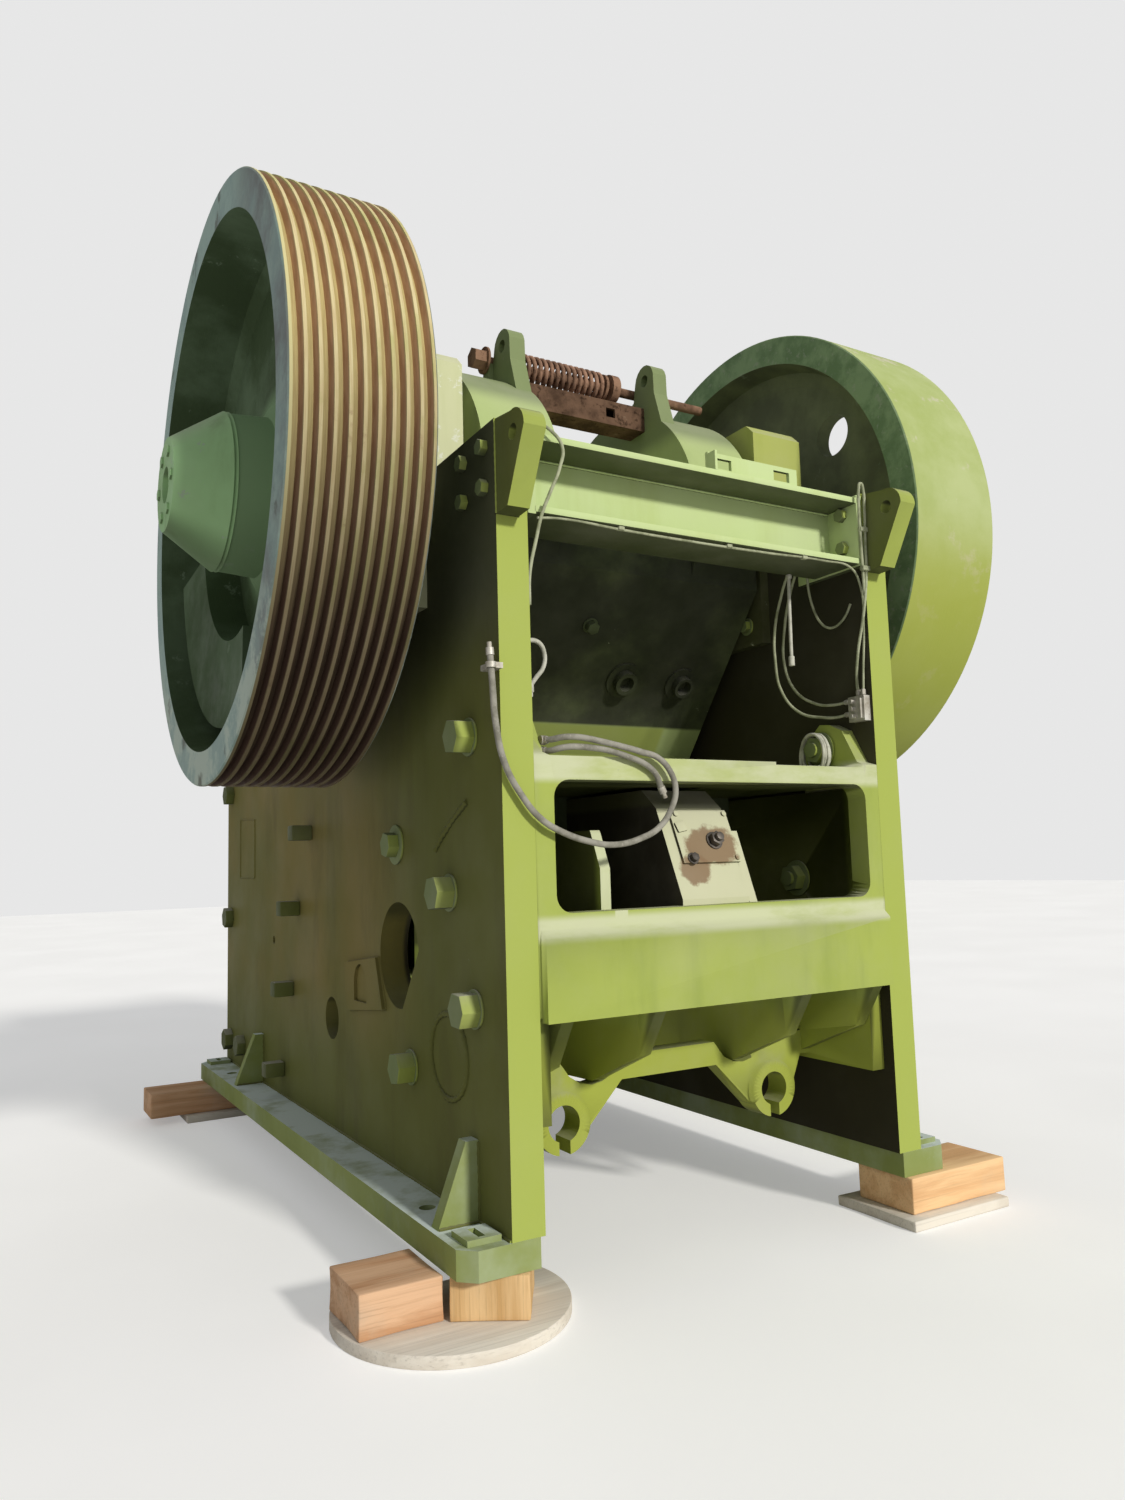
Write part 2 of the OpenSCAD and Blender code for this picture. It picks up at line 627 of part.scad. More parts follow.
// Rim, dished web and hub of a flywheel as a [radius, x] outline, from the inner face outwards.
module wheel_solid(grooved) {
    pitch = (wheel_x1 - wheel_x0 - 14) / groove_n;
    inner_edge = [[wheel_r - 4, wheel_x0], [wheel_r, wheel_x0 + 4]];
    grooves = [for (i = [0:groove_n - 1]) let (c = wheel_x0 + 7 + pitch * (i + 0.5))
        each [[wheel_r, c - 13], [wheel_r - groove_d, c - 7], [wheel_r - groove_d, c + 7],
        [wheel_r, c + 13]]];
    outer_edge = [[wheel_r, wheel_x1 - 4], [wheel_r - 4, wheel_x1]];
    prof = concat([[rim_in, wheel_x0], inner_edge[0], inner_edge[1]], grooved ? grooves : [],
        outer_edge, [[rim_in, wheel_x1], [rim_in - 14, web_x1 + 20], [rim_in - 62, web_x1 - 5],
        [300, web_x1], [236, web_x1 + 40], [228, wheel_hub_x], [150.05, wheel_hub_x],
        [150.05, web_x0 - 70], [240, web_x0 - 70], [300, web_x0], [rim_in - 62, web_x0],
        [rim_in - 14, web_x0 - 20]]);
    translate([0, shaft_y, shaft_z]) rotate([0, 90, 0]) rotate_extrude($fn = main_fn * 2)
        polygon(prof);
}

// Counterweight cast into the web, as a ring segment on the outer side.
module counterweight() {
    translate([0, shaft_y, shaft_z]) rotate([0, 90, 0]) translate([0, 0, web_x1 - 6])
        rotate([0, 0, -15]) rotate_extrude(angle = 95, $fn = main_fn)
            polygon([[rim_in - 332, 0], [rim_in - 72, 0], [rim_in - 72, 136], [rim_in - 332, 116]]);
}

module flywheel_plain() {
    color("YellowGreen") difference() {
        union() {
            wheel_solid(false);
            counterweight();
        }
        for (a = [45, 225]) translate([0, shaft_y, shaft_z]) rotate([-a, 0, 0])
            translate([web_x0 - 50, 187 - rim_in, 0]) rotate([0, 90, 0])
                cylinder(r = 76, h = web_x1 - web_x0 + 240, $fn = 48);
    }
}

module flywheel_grooved() {
    color("SaddleBrown") mirrored() union() {
        wheel_solid(true);
        counterweight();
    }
}

// Cone-shaped clamping hub on the shaft end, drawn for the right-hand side.
module hub_right() {
    color("DarkSeaGreen") difference() {
        union() {
            xcone(231, 222, wheel_hub_x + eps, wheel_hub_x + 12, shaft_y, shaft_z);
            xcone(231, 134, wheel_hub_x + 12, wheel_hub_x + 154, shaft_y, shaft_z);
            for (a = [0:60:300]) translate([0, shaft_y, shaft_z]) rotate([a, 0, 0])
                translate([wheel_hub_x + 150, 96, 0]) rotate([0, 90, 0])
                    cylinder(d = 34, h = 10, $fn = 6);
        }
        xcyl(150.05, wheel_hub_x - 10, shaft_x1 + eps, shaft_y, shaft_z, main_fn);
        xcyl(52, wheel_hub_x + 130, wheel_hub_x + 156, shaft_y, shaft_z, main_fn);
    }
}

module hub_left() {
    mirrored() hub_right();
}

// Moving jaw

pit_w = half_w - 60;
pit_y = shaft_y + throw;

// Rear wall line of the pitman as [y, z]: it leaves the barrel as a tangent.
wall_a = [475, 1747];
wall_b = [835, 1290];
wall_dir = unit(wall_b - wall_a);
wall_n = [wall_dir[1], -wall_dir[0]];

// Outline of the pitman's ribs below the barrel as [y, z].
rib_outline = [[pit_y, shaft_z], wall_a + [14, 14], wall_b + [14, 14], [1010, 960], [1130, 620],
    [1170, 440], [1330, 300], [1420, 240], [swing_bot[0] - swing_back - 20, 240],
    line_at(swing_top, swing_bot, 1960) - [swing_back + 20, 0], [pit_y + 300, shaft_z + 100]];

// Round boss on the rear wall at x, d along the wall from its top.
module wall_boss(x, d, r, h, hole) {
    p = wall_a + wall_dir * d;
    translate([x, p[0], p[1]]) rotate([atan2(wall_n[1], wall_n[0]) - 90, 0, 0])
        translate([0, 0, -2]) difference() {
            cylinder(r = r, h = h + 2, $fn = small_fn);
            translate([0, 0, 2]) cylinder(r = hole, h = h + 2, $fn = small_fn);
        }
}

module pitman() {
    color("YellowGreen") difference() {
        union() {
            for (x = [[boss_x0, boss_x1], [-boss_x1, -boss_x0]])
                xcyl(boss_r, x[0], x[1], pit_y, shaft_z, main_fn);
            xcyl(neck_r, -boss_x0 - 2, boss_x0 + 2, pit_y, shaft_z, main_fn);
            // lifting ears, one at the inner end of each boss
            for (x = [-boss_x0 - 55, boss_x0])
                yz_plate(x, x + 55, concat([[pit_y - 320, shaft_z + 340]],
                    [[pit_y - 274, shaft_z + 490]],
                    corner(pit_y - 218, shaft_z + 553, 55, 170, 10, 8),
                    [[pit_y - 150, shaft_z + 500], [pit_y - 80, shaft_z + 470]]));
            // rests for the spare rod on the outer faces of the ears
            for (x = [-boss_x0 - 71, boss_x0 + 53])
                box(x, x + 18, rod_y - 22, rod_y + 22, shaft_z + 440, rod_z - rod_r - eps);
            // ribs of the body
            for (x = [-pit_w, -280, -20, 240, pit_w - 40]) yz_plate(x, x + 40, rib_outline);
            // front slab behind the die
            yz_plate(-pit_w, pit_w, [[1420, 240], [swing_bot[0] - swing_back, 240],
                line_at(swing_top, swing_bot, 1960) - [swing_back, 0], [1160, 1960],
                [swing_bot[0] - 230, 520], [1420, 420]]);
            // rear wall from the shelf under the neck down to the toggle end
            yz_plate(-pit_w, pit_w, [[424, 1890], [424, 1812], wall_a, wall_b, [1000, 1000],
                [1050, 1000], wall_b + [62, 30], wall_a + [62, 30], [486, 1850], [620, 1850],
                [620, 1890]]);
            box(-pit_w + 30, pit_w - 30, 1150, 1430, 420, 560);
            // bosses for the die's holding bolts
            for (b = [[118, 62], [352, 60]]) wall_boss(b[0], 286, b[1], 8, 26);
            for (b = [[118, 40], [352, 36]]) wall_boss(b[0], 286, b[1], 34, 26);
        }
        xcyl(boss_bore + 0.05, -pit_w - 1, pit_w + 1, pit_y, shaft_z, main_fn);
        for (x = [-boss_x0 - 55, boss_x0]) xcyl(21, x - 1, x + 56, pit_y - 218, shaft_z + 553);
        // bearing recess in each end
        for (s = [-1, 1])
            xcyl(300, s > 0 ? boss_x1 - 35 : -boss_x1 - 1, s > 0 ? boss_x1 + 1 : 35 - boss_x1, pit_y,
                shaft_z, main_fn);
        // toggle seat groove
        xcyl(36, -pit_w - 1, pit_w + 1, 1150, 490);
    }
}

// Spare tension rod stored on the bosses behind the ears.
module stored_rod() {
    color("Sienna") union() {
        xcyl(rod_r, -boss_x0 - 100, half_w - 24, rod_y, rod_z);
        translate([-boss_x0 - 122, rod_y, rod_z]) rotate([0, 90, 0]) cylinder(d = 70, h = 42, $fn = 6);
        xcyl(44, -boss_x0 - 80, -boss_x0 - 73, rod_y, rod_z);
        xcyl(46, -boss_x0 + eps, -boss_x0 + 6, rod_y, rod_z);
        xcyl(46, 122, 132, rod_y, rod_z);
        xcyl(50, 148, 178, rod_y, rod_z);
    }
}

// Compression spring on the stored rod: a helix of round wire.
spring_wire = 7.5;
spring_r = 43;
spring_turns = 16;
spring_seat = spring_wire * cos(30) + eps;
spring_x0 = -boss_x0 + 6 + spring_seat;
spring_len = boss_x0 + 116 - 2 * spring_seat;
spring_route = [for (i = [0:spring_turns * 12]) let (a = 30 * i)
    [spring_x0 + spring_len * i / (spring_turns * 12), rod_y + spring_r * cos(a),
    rod_z + spring_r * sin(a)]];

module rod_spring() {
    color("Sienna") tube(spring_route, spring_wire, 6, [1, 0, 0]);
}

tube_y = pit_y - 212;
tube_z = shaft_z + 372;

// Rusty square tube set between the two bosses above the neck.
module neck_tube() {
    color("SaddleBrown") difference() {
        box(-boss_x0 + eps, boss_x0 - eps, tube_y, tube_y + 90, tube_z, tube_z + 84);
        box(-boss_x0 - 2, boss_x0 + 2, tube_y + 12, tube_y + 78, tube_z + 12, tube_z + 72);
        box(92, 128, tube_y - 5, tube_y + 13, tube_z + 26, tube_z + 58);
    }
}

// Hoses and lines

module hose_loop() {
    color("Gray") tube(hose_route, hose_r, 10);
}

module hose_short() {
    color("Gray") tube(hose_b_route, hose_r, 10);
}

// Crimped end on a hose that points along the last stretch of its route.
module ferrule(p) {
    last = p[len(p) - 1];
    d = last - p[len(p) - 2];
    translate(last) rotate([0, acos(d[2] / norm(d)), atan2(d[1], d[0])]) {
        translate([0, 0, eps]) cylinder(r = hose_r + 2, h = 18, $fn = small_fn);
        translate([0, 0, 18]) cylinder(r = hose_r - 2, h = 14, $fn = small_fn);
    }
}

module hose_ends() {
    color("MistyRose") union() {
        ferrule(hose_route);
        ferrule(hose_b_route);
    }
}

// Elbow on the flange's inner face, turned towards the start of a hose.
module elbow(p) {
    start = p[0];
    d = p[1] - start;
    face = -half_w + 44 + 2 * eps;
    translate([face, start[1] + 13, start[2]]) rotate([0, 90, 0])
        cylinder(r = hose_r + 4, h = start[0] - face, $fn = small_fn);
    translate(start) rotate([0, 0, atan2(d[1], d[0])]) rotate([0, -90, 0])
        translate([0, 0, eps]) cylinder(r = hose_r + 2, h = 10, $fn = small_fn);
}

// The two elbows and the clip that holds the long hose's upper end to the side plate.
module hose_mounts() {
    top = hose_route[len(hose_route) - 1];
    color("Silver") union() {
        elbow(hose_route);
        elbow(hose_b_route);
        difference() {
            union() {
                zcyl(hose_r + 5, top[0] + 1, top[1], top[2] - 30, top[2] - 16);
                box(top[0], -plate_x1 - eps, top[1] - 6, 40, top[2] - 30, top[2] - 16);
            }
            zcyl(hose_r + 1.5, top[0] + 1, top[1], top[2] - 31, top[2] - 15);
            box(top[0] + 22, -plate_x1 - 6, 12, 41, top[2] - 31, top[2] - 15);
        }
    }
}

module line_left() {
    color("DarkKhaki") tube(line_left_route, 4.5, 8);
}

module line_beam() {
    color("DarkKhaki") tube(line_beam_route, 3.5, 8);
}

module line_right() {
    color("DarkKhaki") tube(line_right_route, 4.5, 8);
}

module line_loop_a() {
    color("DimGray") tube(loop_a_route, 4, 8, [1, 0, 0]);
}

module line_loop_b() {
    color("DimGray") tube(loop_b_route, 4.5, 8, [1, 0, 0]);
}

module line_loop_c() {
    color("DimGray") tube(loop_c_route, 4.5, 8, [1, 0, 0]);
}

// Assembly

at_row() side_plate_left();
at_row() side_plate_right();
at_row() foot_rail_left();
at_row() foot_rail_right();
at_row() rear_frame();
at_row() front_frame();
at_row() front_ribs();
at_row() front_shelves();
at_row() fixed_jaw_die();
at_row() cheek_plate_left();
at_row() cheek_plate_right();
at_row() rear_beam();
at_row() beam_bracket();
at_row() lifting_lug_left();
at_row() lifting_lug_right();
at_row() bearing_housing_left();
at_row() bearing_housing_right();
at_row() frame_bolts_left();
at_row() frame_bolts_right();
at_row() adjuster();
at_row() toggle_beam();
at_row() grease_block();
at_row() packing_timbers();
at_row() eccentric_shaft();
at_row() flywheel_grooved();
at_row() flywheel_plain();
at_row() hub_left();
at_row() hub_right();
at_row() pitman();
at_row() swing_jaw_die();
at_row() stored_rod();
at_row() rod_spring();
at_row() neck_tube();
at_row() hose_loop();
at_row() hose_short();
at_row() hose_ends();
at_row() hose_mounts();
at_row() line_left();
at_row() line_beam();
at_row() line_right();
at_row() line_loop_a();
at_row() line_loop_b();
at_row() line_loop_c();
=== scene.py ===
"""Looks of the jaw crusher: camera, stage, finishes, hoses, beam, bolts, timbers and small fittings."""

import math

import bpy
from mathutils import Matrix, Vector


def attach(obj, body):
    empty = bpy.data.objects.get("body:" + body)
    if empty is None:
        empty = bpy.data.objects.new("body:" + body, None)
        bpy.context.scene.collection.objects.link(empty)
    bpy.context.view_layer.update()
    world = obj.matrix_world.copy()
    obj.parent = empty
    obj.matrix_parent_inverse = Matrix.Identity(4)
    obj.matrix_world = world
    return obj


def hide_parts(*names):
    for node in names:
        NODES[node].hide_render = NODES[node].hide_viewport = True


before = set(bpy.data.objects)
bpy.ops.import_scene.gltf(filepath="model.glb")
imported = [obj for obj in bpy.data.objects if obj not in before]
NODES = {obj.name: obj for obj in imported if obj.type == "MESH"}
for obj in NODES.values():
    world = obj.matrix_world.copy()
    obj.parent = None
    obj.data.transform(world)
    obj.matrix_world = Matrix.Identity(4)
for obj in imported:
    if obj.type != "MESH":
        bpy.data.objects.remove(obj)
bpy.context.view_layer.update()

bl_info = {
    "name": "Jaw crusher dressing",
    "version": (1, 1, 0),
    "blender": (4, 5, 0),
    "location": "View3D > Sidebar > Jaw crusher",
    "description": "Adds finishes, hoses, bolts, timbers and fittings to the jaw crusher frame",
    "category": "Object",
}

# The drawing's origin is the plates' rear edge at the foot's underside; these lead to the row frame
Y_MID = 1.358
PACK_H = 0.13

# In metres: the eccentric shaft's place from that origin, the flywheels' radius, middle and half width
SHAFT_Y = 0.851
SHAFT_Z = 2.032
WHEEL_R = 0.862
WHEEL_MIDDLE = 0.999
WHEEL_HALF = 0.181

# In millimetres from the centre plane: the face under the inner nuts, the side plates' inner and outer
# faces, the start of the heads outside, and the middle of the weld beads
NUT_SEAT = 533.6
PLATE_IN = 579.6
PLATE_OUT = 667
HEAD_FACE = 667.3
WELD_FACE = 666.5


def row(x, y, z):
    """Millimetres from the drawing (rear edge, foot underside) to metres in the row frame."""
    return Vector((x / 1000, y / 1000 - Y_MID, z / 1000 + PACK_H))


# Settings


class DressSettings(bpy.types.PropertyGroup):
    """Sizes and colours a user may change before running the steps."""

    paint: bpy.props.FloatVectorProperty(
        name="Paint", description="Green machine paint in good light", subtype="COLOR",
        size=3, min=0, max=1, default=(0.375, 0.44, 0.098))
    paint_shade: bpy.props.FloatVectorProperty(
        name="Worn paint", description="Darker, older coat that shows through", subtype="COLOR",
        size=3, min=0, max=1, default=(0.225, 0.285, 0.07))
    chalk: bpy.props.FloatVectorProperty(
        name="Chalky paint", description="Faded coat on the window's bar and sill", subtype="COLOR",
        size=3, min=0, max=1, default=(0.56, 0.59, 0.37))
    dust: bpy.props.FloatVectorProperty(
        name="Dust", description="Dust that lies on upward faces", subtype="COLOR",
        size=3, min=0, max=1, default=(0.5, 0.48, 0.4))
    rust: bpy.props.FloatVectorProperty(
        name="Rust", description="Rust in the grooves and on the stored rod", subtype="COLOR",
        size=3, min=0, max=1, default=(0.15, 0.066, 0.034))
    dust_amount: bpy.props.FloatProperty(
        name="Dust amount", description="How much dust lies on upward faces", min=0, max=1,
        default=0.55)
    hose_diameter: bpy.props.FloatProperty(
        name="Hose diameter", description="Outside diameter of the two grease hoses",
        subtype="DISTANCE", unit="LENGTH", min=0.008, max=0.03, default=0.016)
    nut_size: bpy.props.FloatProperty(
        name="Nut width", description="Width across the flats of the frame bolts",
        subtype="DISTANCE", unit="LENGTH", min=0.05, max=0.1, default=0.08)


def settings():
    return bpy.context.scene.crusher_dress


# Finishes

# Specular level of dusty paint, wood and rubber, and of bare metal
PAINT_GLOSS = 0.02
METAL_GLOSS = 0.5


def add_node(nt, kind, **inputs):
    """Adds a shader node and sets its inputs by name, with _ for a space."""
    n = nt.nodes.new("ShaderNode" + kind)
    for name, value in inputs.items():
        n.inputs[name.replace("_", " ")].default_value = value
    return n


class Tree:
    """Short-hand for building a material's node tree."""

    def __init__(self, name, metallic=0.0):
        self.mat = bpy.data.materials.new(name)
        self.mat.use_nodes = True
        self.nt = self.mat.node_tree
        self.nt.nodes.clear()
        gloss = METAL_GLOSS if metallic else PAINT_GLOSS
        self.bsdf = self.add("BsdfPrincipled", Metallic=metallic, Specular_IOR_Level=gloss)
        self.nt.links.new(self.bsdf.outputs[0], self.add("OutputMaterial").inputs[0])
        self.coord = self.add("TexCoord").outputs["Object"]
        self.normal = self.add("NewGeometry").outputs["Normal"]

    def add(self, kind, **inputs):
        return add_node(self.nt, kind, **inputs)

    def set(self, socket, value):
        if hasattr(value, "is_linked"):
            self.nt.links.new(value, socket)
        elif isinstance(value, (tuple, list, Vector)) and socket.type == "RGBA":
            socket.default_value = (*value[:3], 1)
        else:
            socket.default_value = value

    def mapped(self, stretch=None, offset=None):
        if stretch is None and offset is None:
            return self.coord
        m = self.add("Mapping", Scale=stretch or (1, 1, 1), Location=offset or (0, 0, 0))
        self.set(m.inputs["Vector"], self.coord)
        return m.outputs[0]

    def noise(self, scale, detail, rough=0.55, stretch=None, distortion=0.0, offset=None):
        n = self.add("TexNoise", Scale=scale, Detail=detail, Roughness=rough, Distortion=distortion)
        self.set(n.inputs["Vector"], self.mapped(stretch, offset))
        return n.outputs["Fac"]

    def ramp(self, value, lo, hi, a=0.0, b=1.0):
        n = self.add("MapRange", From_Min=lo, From_Max=hi, To_Min=a, To_Max=b)
        n.interpolation_type = "SMOOTHSTEP"
        self.set(n.inputs["Value"], value)
        return n.outputs["Result"]

    def math(self, op, a, b=0.0):
        n = self.add("Math")
        n.operation = op
        self.set(n.inputs[0], a)
        self.set(n.inputs[1], b)
        return n.outputs[0]

    def both(self, *masks):
        """Product of several masks."""
        whole = masks[0]
        for one in masks[1:]:
            whole = self.math("MULTIPLY", whole, one)
        return whole

    def mix(self, fac, a, b):
        n = self.add("Mix")
        n.data_type = "RGBA"
        factor, first, second = (n.inputs[i] for i in (0, 6, 7))
        self.set(factor, fac)
        self.set(first, a)
        self.set(second, b)
        return n.outputs[2]

    def base(self, mask, a, b):
        """Starts the colour as a mix of two."""
        self.color = self.mix(mask, a, b)

    def coat(self, mask, color):
        """Lays a colour over what is there, where the mask is."""
        self.color = self.mix(mask, self.color, color)

    def axis(self, which, source=None):
        n = self.add("SeparateXYZ")
        self.set(n.inputs[0], source if source is not None else self.coord)
        return n.outputs[which]

    def facing(self, which, lo, hi):
        """Mask by one part of the surface's direction, from 0 at lo to 1 at hi."""
        return self.ramp(self.axis(which, self.normal), lo, hi)

    def span(self, which, lo, hi, soft):
        """Mask of a stretch along one axis, with soft ends, in metres of the row frame."""
        value = self.axis(which)
        return self.both(self.ramp(value, lo - soft, lo + soft), self.ramp(value, hi + soft, hi - soft))

    def length(self, source, scale):
        """Length of a vector after each part of it is multiplied by scale."""
        flat = self.add("VectorMath")
        flat.operation = "MULTIPLY"
        self.set(flat.inputs[0], source)
        flat.inputs[1].default_value = scale
        n = self.add("VectorMath")
        n.operation = "LENGTH"
        self.set(n.inputs[0], flat.outputs[0])
        return n.outputs["Value"]

    def bump(self, height, strength, distance):
        n = self.add("Bump", Strength=strength, Distance=distance)
        self.set(n.inputs["Height"], height)
        self.set(self.bsdf.inputs["Normal"], n.outputs[0])

    def finish(self, rough):
        self.set(self.bsdf.inputs["Base Color"], self.color)
        self.set(self.bsdf.inputs["Roughness"], rough)
        return self.mat


def chalky_window(t):
    """Faded, chalky coat on the window's bar, sill and rib, painted shade inside the window, and yellower
    paint low.
    """
    s = settings()
    brushed = t.ramp(t.noise(5.0, 6, 0.65, stretch=(0.35, 1.0, 1.0)), 0.34, 0.58, 0.35, 1.0)
    rear = t.ramp(t.axis("Y"), -1.2, -1.3)
    for lo, hi in ((1.255, 1.33), (0.868, 0.922)):
        t.coat(t.both(t.span("Z", lo, hi, 0.012), brushed, rear), tuple(s.chalk))
    rib = t.both(t.span("X", -0.36, -0.322, 0.002), t.span("Z", 0.9, 1.14, 0.01), t.facing("Y", -0.3, -0.5))
    t.coat(t.both(rib, brushed), tuple(s.chalk))
    # Painted shade: a dark colour on the window's inner faces, where the bar and sill shade them
    inside = t.both(t.span("Z", 0.82, 1.262, 0.01), t.ramp(t.axis("Y"), -1.285, -1.25))
    t.coat(t.both(inside, t.facing("Y", -0.6, -0.3), 0.75), (0.07, 0.066, 0.036))
    t.coat(t.ramp(t.axis("Z"), 0.66, 0.6, b=0.6), (0.345, 0.375, 0.052))


def sunlit_rear_shaded_front(t):
    """Painted light and shade: rearward faces get the paint as the sun lights it, and whatever lies far
    forward gets painted shade.
    """
    s = settings()
    patch = t.ramp(t.noise(3.0, 5, 0.6, offset=(2.0, 2.0, 8.0)), 0.35, 0.7, 0.8, 1.0)
    # Painted light: the lit paint on faces that look rearwards, towards the sun
    t.coat(t.both(t.facing("Y", -0.45, -0.75), patch), tuple(s.paint))
    # Painted shade on whatever lies far forward
    t.coat(t.ramp(t.axis("Y"), -0.45, 0.1, b=0.72), (0.07, 0.074, 0.034))


def sunlit_edges(t):
    """Painted light: the side plates' rear edges get the paint as the sun lights it, and nothing else does.
    """
    edge = t.both(t.facing("Y", -0.45, -0.75), t.ramp(t.axis("Y"), -1.27, -1.32))
    t.coat(edge, tuple(settings().paint))


def brown_stain_and_shade(t):
    """Brown stain over the middle and front of the side plates, streaky runs, painted shade under the
    flywheels and painted shade on the plates' inner faces.
    """
    stain = t.ramp(t.noise(1.1, 4, 0.55, offset=(3.1, 0.4, 1.7)), 0.34, 0.62, 0.25, 1.0)
    forward = t.ramp(t.axis("Y"), -0.95, -0.25)
    t.coat(t.both(stain, forward, t.ramp(t.axis("Z"), 0.35, 0.75)), (0.225, 0.18, 0.058))
    runs = t.noise(4.0, 6, 0.65, stretch=(1.0, 1.0, 0.3), offset=(4.0, 1.0, 0.0))
    t.coat(t.ramp(runs, 0.5, 0.7, b=0.35), (0.085, 0.08, 0.032))
    # Painted shade of the flywheels over the plates' upper part
    t.coat(t.ramp(t.axis("Z"), 1.46, 1.78, b=0.72), (0.062, 0.066, 0.05))
    # Painted shade on the plates' inner faces, in three tones by height
    inner = t.ramp(t.math("ABSOLUTE", t.axis("X")), 0.6, 0.586, b=0.92)
    shade = t.mix(t.ramp(t.axis("Z"), 0.75, 0.95), (0.03, 0.026, 0.018), (0.085, 0.082, 0.048))
    shade = t.mix(t.ramp(t.axis("Z"), 1.25, 1.45), shade, (0.048, 0.045, 0.028))
    t.coat(inner, shade)


def shadowed_wall(t):
    """Painted shadow of the beam on the jaw's rear wall, a painted sunlit strip at its lower edge, and darker
    towards the top.
    """
    shadow_tone = t.ramp(t.noise(3.1, 5, 0.6, offset=(7.0, 2.0, 0.0)), 0.25, 0.6, 0.8, 1.0)
    wall = t.span("Z", 1.512, 2.11, 0.006)
    # Painted shadow: dark colour where the beam shades the wall
    t.coat(t.both(wall, shadow_tone), (0.042, 0.047, 0.03))
    # Painted light: the lime strip that the sun reaches below the beam's shadow
    sunlit_strip = t.both(t.ramp(t.axis("Z"), 1.518, 1.506), t.ramp(t.axis("X"), 0.37, 0.35))
    t.coat(sunlit_strip, (0.345, 0.4, 0.11))
    t.coat(t.ramp(t.axis("Z"), 2.42, 2.5, b=0.7), (0.14, 0.175, 0.088))


def shaded_block(t):
    """Painted shade on the part of a bearing block that hangs inside the side plates."""
    inside = t.ramp(t.math("ABSOLUTE", t.axis("X")), 0.602, 0.594)
    t.coat(t.both(inside, t.ramp(t.axis("Z"), 2.16, 2.08, b=0.9)), (0.045, 0.046, 0.028))


def shaded_chamber(t):
    """Painted shade on everything that faces rearwards into the crushing chamber."""
    t.coat(t.both(t.facing("Y", -0.2, -0.5), 0.85), (0.052, 0.05, 0.03))


def box_shade_and_rust(t):
    """Painted shade on the adjusting box's left-facing sides, painted shadow of the window bar over its top,
    and rust that runs down and left from its cover's nut.
    """
    # Painted shade on faces that look left, away from the sun
    t.coat(t.facing("X", -0.45, -0.8), (0.062, 0.055, 0.04))
    # Painted shadow of the window bar on the box's upper part
    t.coat(t.ramp(t.axis("Z"), 1.195, 1.215), (0.11, 0.11, 0.052))
    ragged = t.noise(13.0, 7, 0.68, offset=(1.0, 6.0, 3.0))
    for x, z, wide, high in ((0.033, 1.089, 0.094, 0.056), (-0.046, 1.024, 0.052, 0.042)):
        place = t.mapped(offset=(-x, 0.0, -z))
        reach = t.length(place, (1 / wide, 0.0, 1 / high))
        edge = t.math("ADD", reach, t.math("MULTIPLY", ragged, 1.3))
        t.coat(t.ramp(edge, 1.72, 1.5, b=0.92), (0.245, 0.16, 0.092))


def painted(name, base, deep, dusty=1.0, chips=0.5, chip_color=(0.34, 0.37, 0.27), dust=None,
            zones=(), under=0.62):
    """Brush-applied machine paint: tone patches, runs, local zones, painted shade on downward faces, chips,
    and dust on upward faces.
    """
    s = settings()
    dust = dust or tuple(s.dust)
    t = Tree(name)
    large = t.noise(1.7, 5, 0.6)
    streak = t.noise(7.0, 5, 0.6, stretch=(1.0, 1.0, 0.16))
    fine = t.noise(60.0, 4, 0.6)
    near = [0.75 * c + 0.25 * d for c, d in zip(base, deep)]
    t.base(t.ramp(large, 0.36, 0.66), base, near)
    t.coat(t.ramp(streak, 0.5, 0.74, b=0.45), deep)
    for zone in zones:
        zone(t)
    # Painted shade on faces that look downwards; under sets how much
    t.coat(t.both(t.facing("Z", -0.55, -0.85), under), (0.04, 0.044, 0.024))
    worn = t.noise(16.0, 9, 0.72)
    lo = 0.71 - 0.05 * chips
    t.coat(t.ramp(worn, lo, lo + 0.02, 0.0, 0.75 * min(1.0, chips + 0.3)), chip_color)
    lies = t.both(t.facing("Z", 0.35, 0.95), t.ramp(t.noise(5.0, 6, 0.6, offset=(1.0, 5.0, 2.0)), 0.25, 0.62))
    lies = t.both(lies, s.dust_amount * dusty)
    t.coat(lies, dust)
    film = t.ramp(t.noise(3.2, 5, 0.6, offset=(4.0, 4.0, 9.0)), 0.4, 0.75, 0.0, 0.14 * dusty)
    t.coat(film, dust)
    roughness = t.math("ADD", t.ramp(large, 0.3, 0.7, 0.44, 0.64), t.both(lies, 0.4))
    t.bump(t.math("ADD", t.both(worn, 0.5), t.both(fine, 0.35)), 0.28, 0.0025)
    return t.finish(roughness)


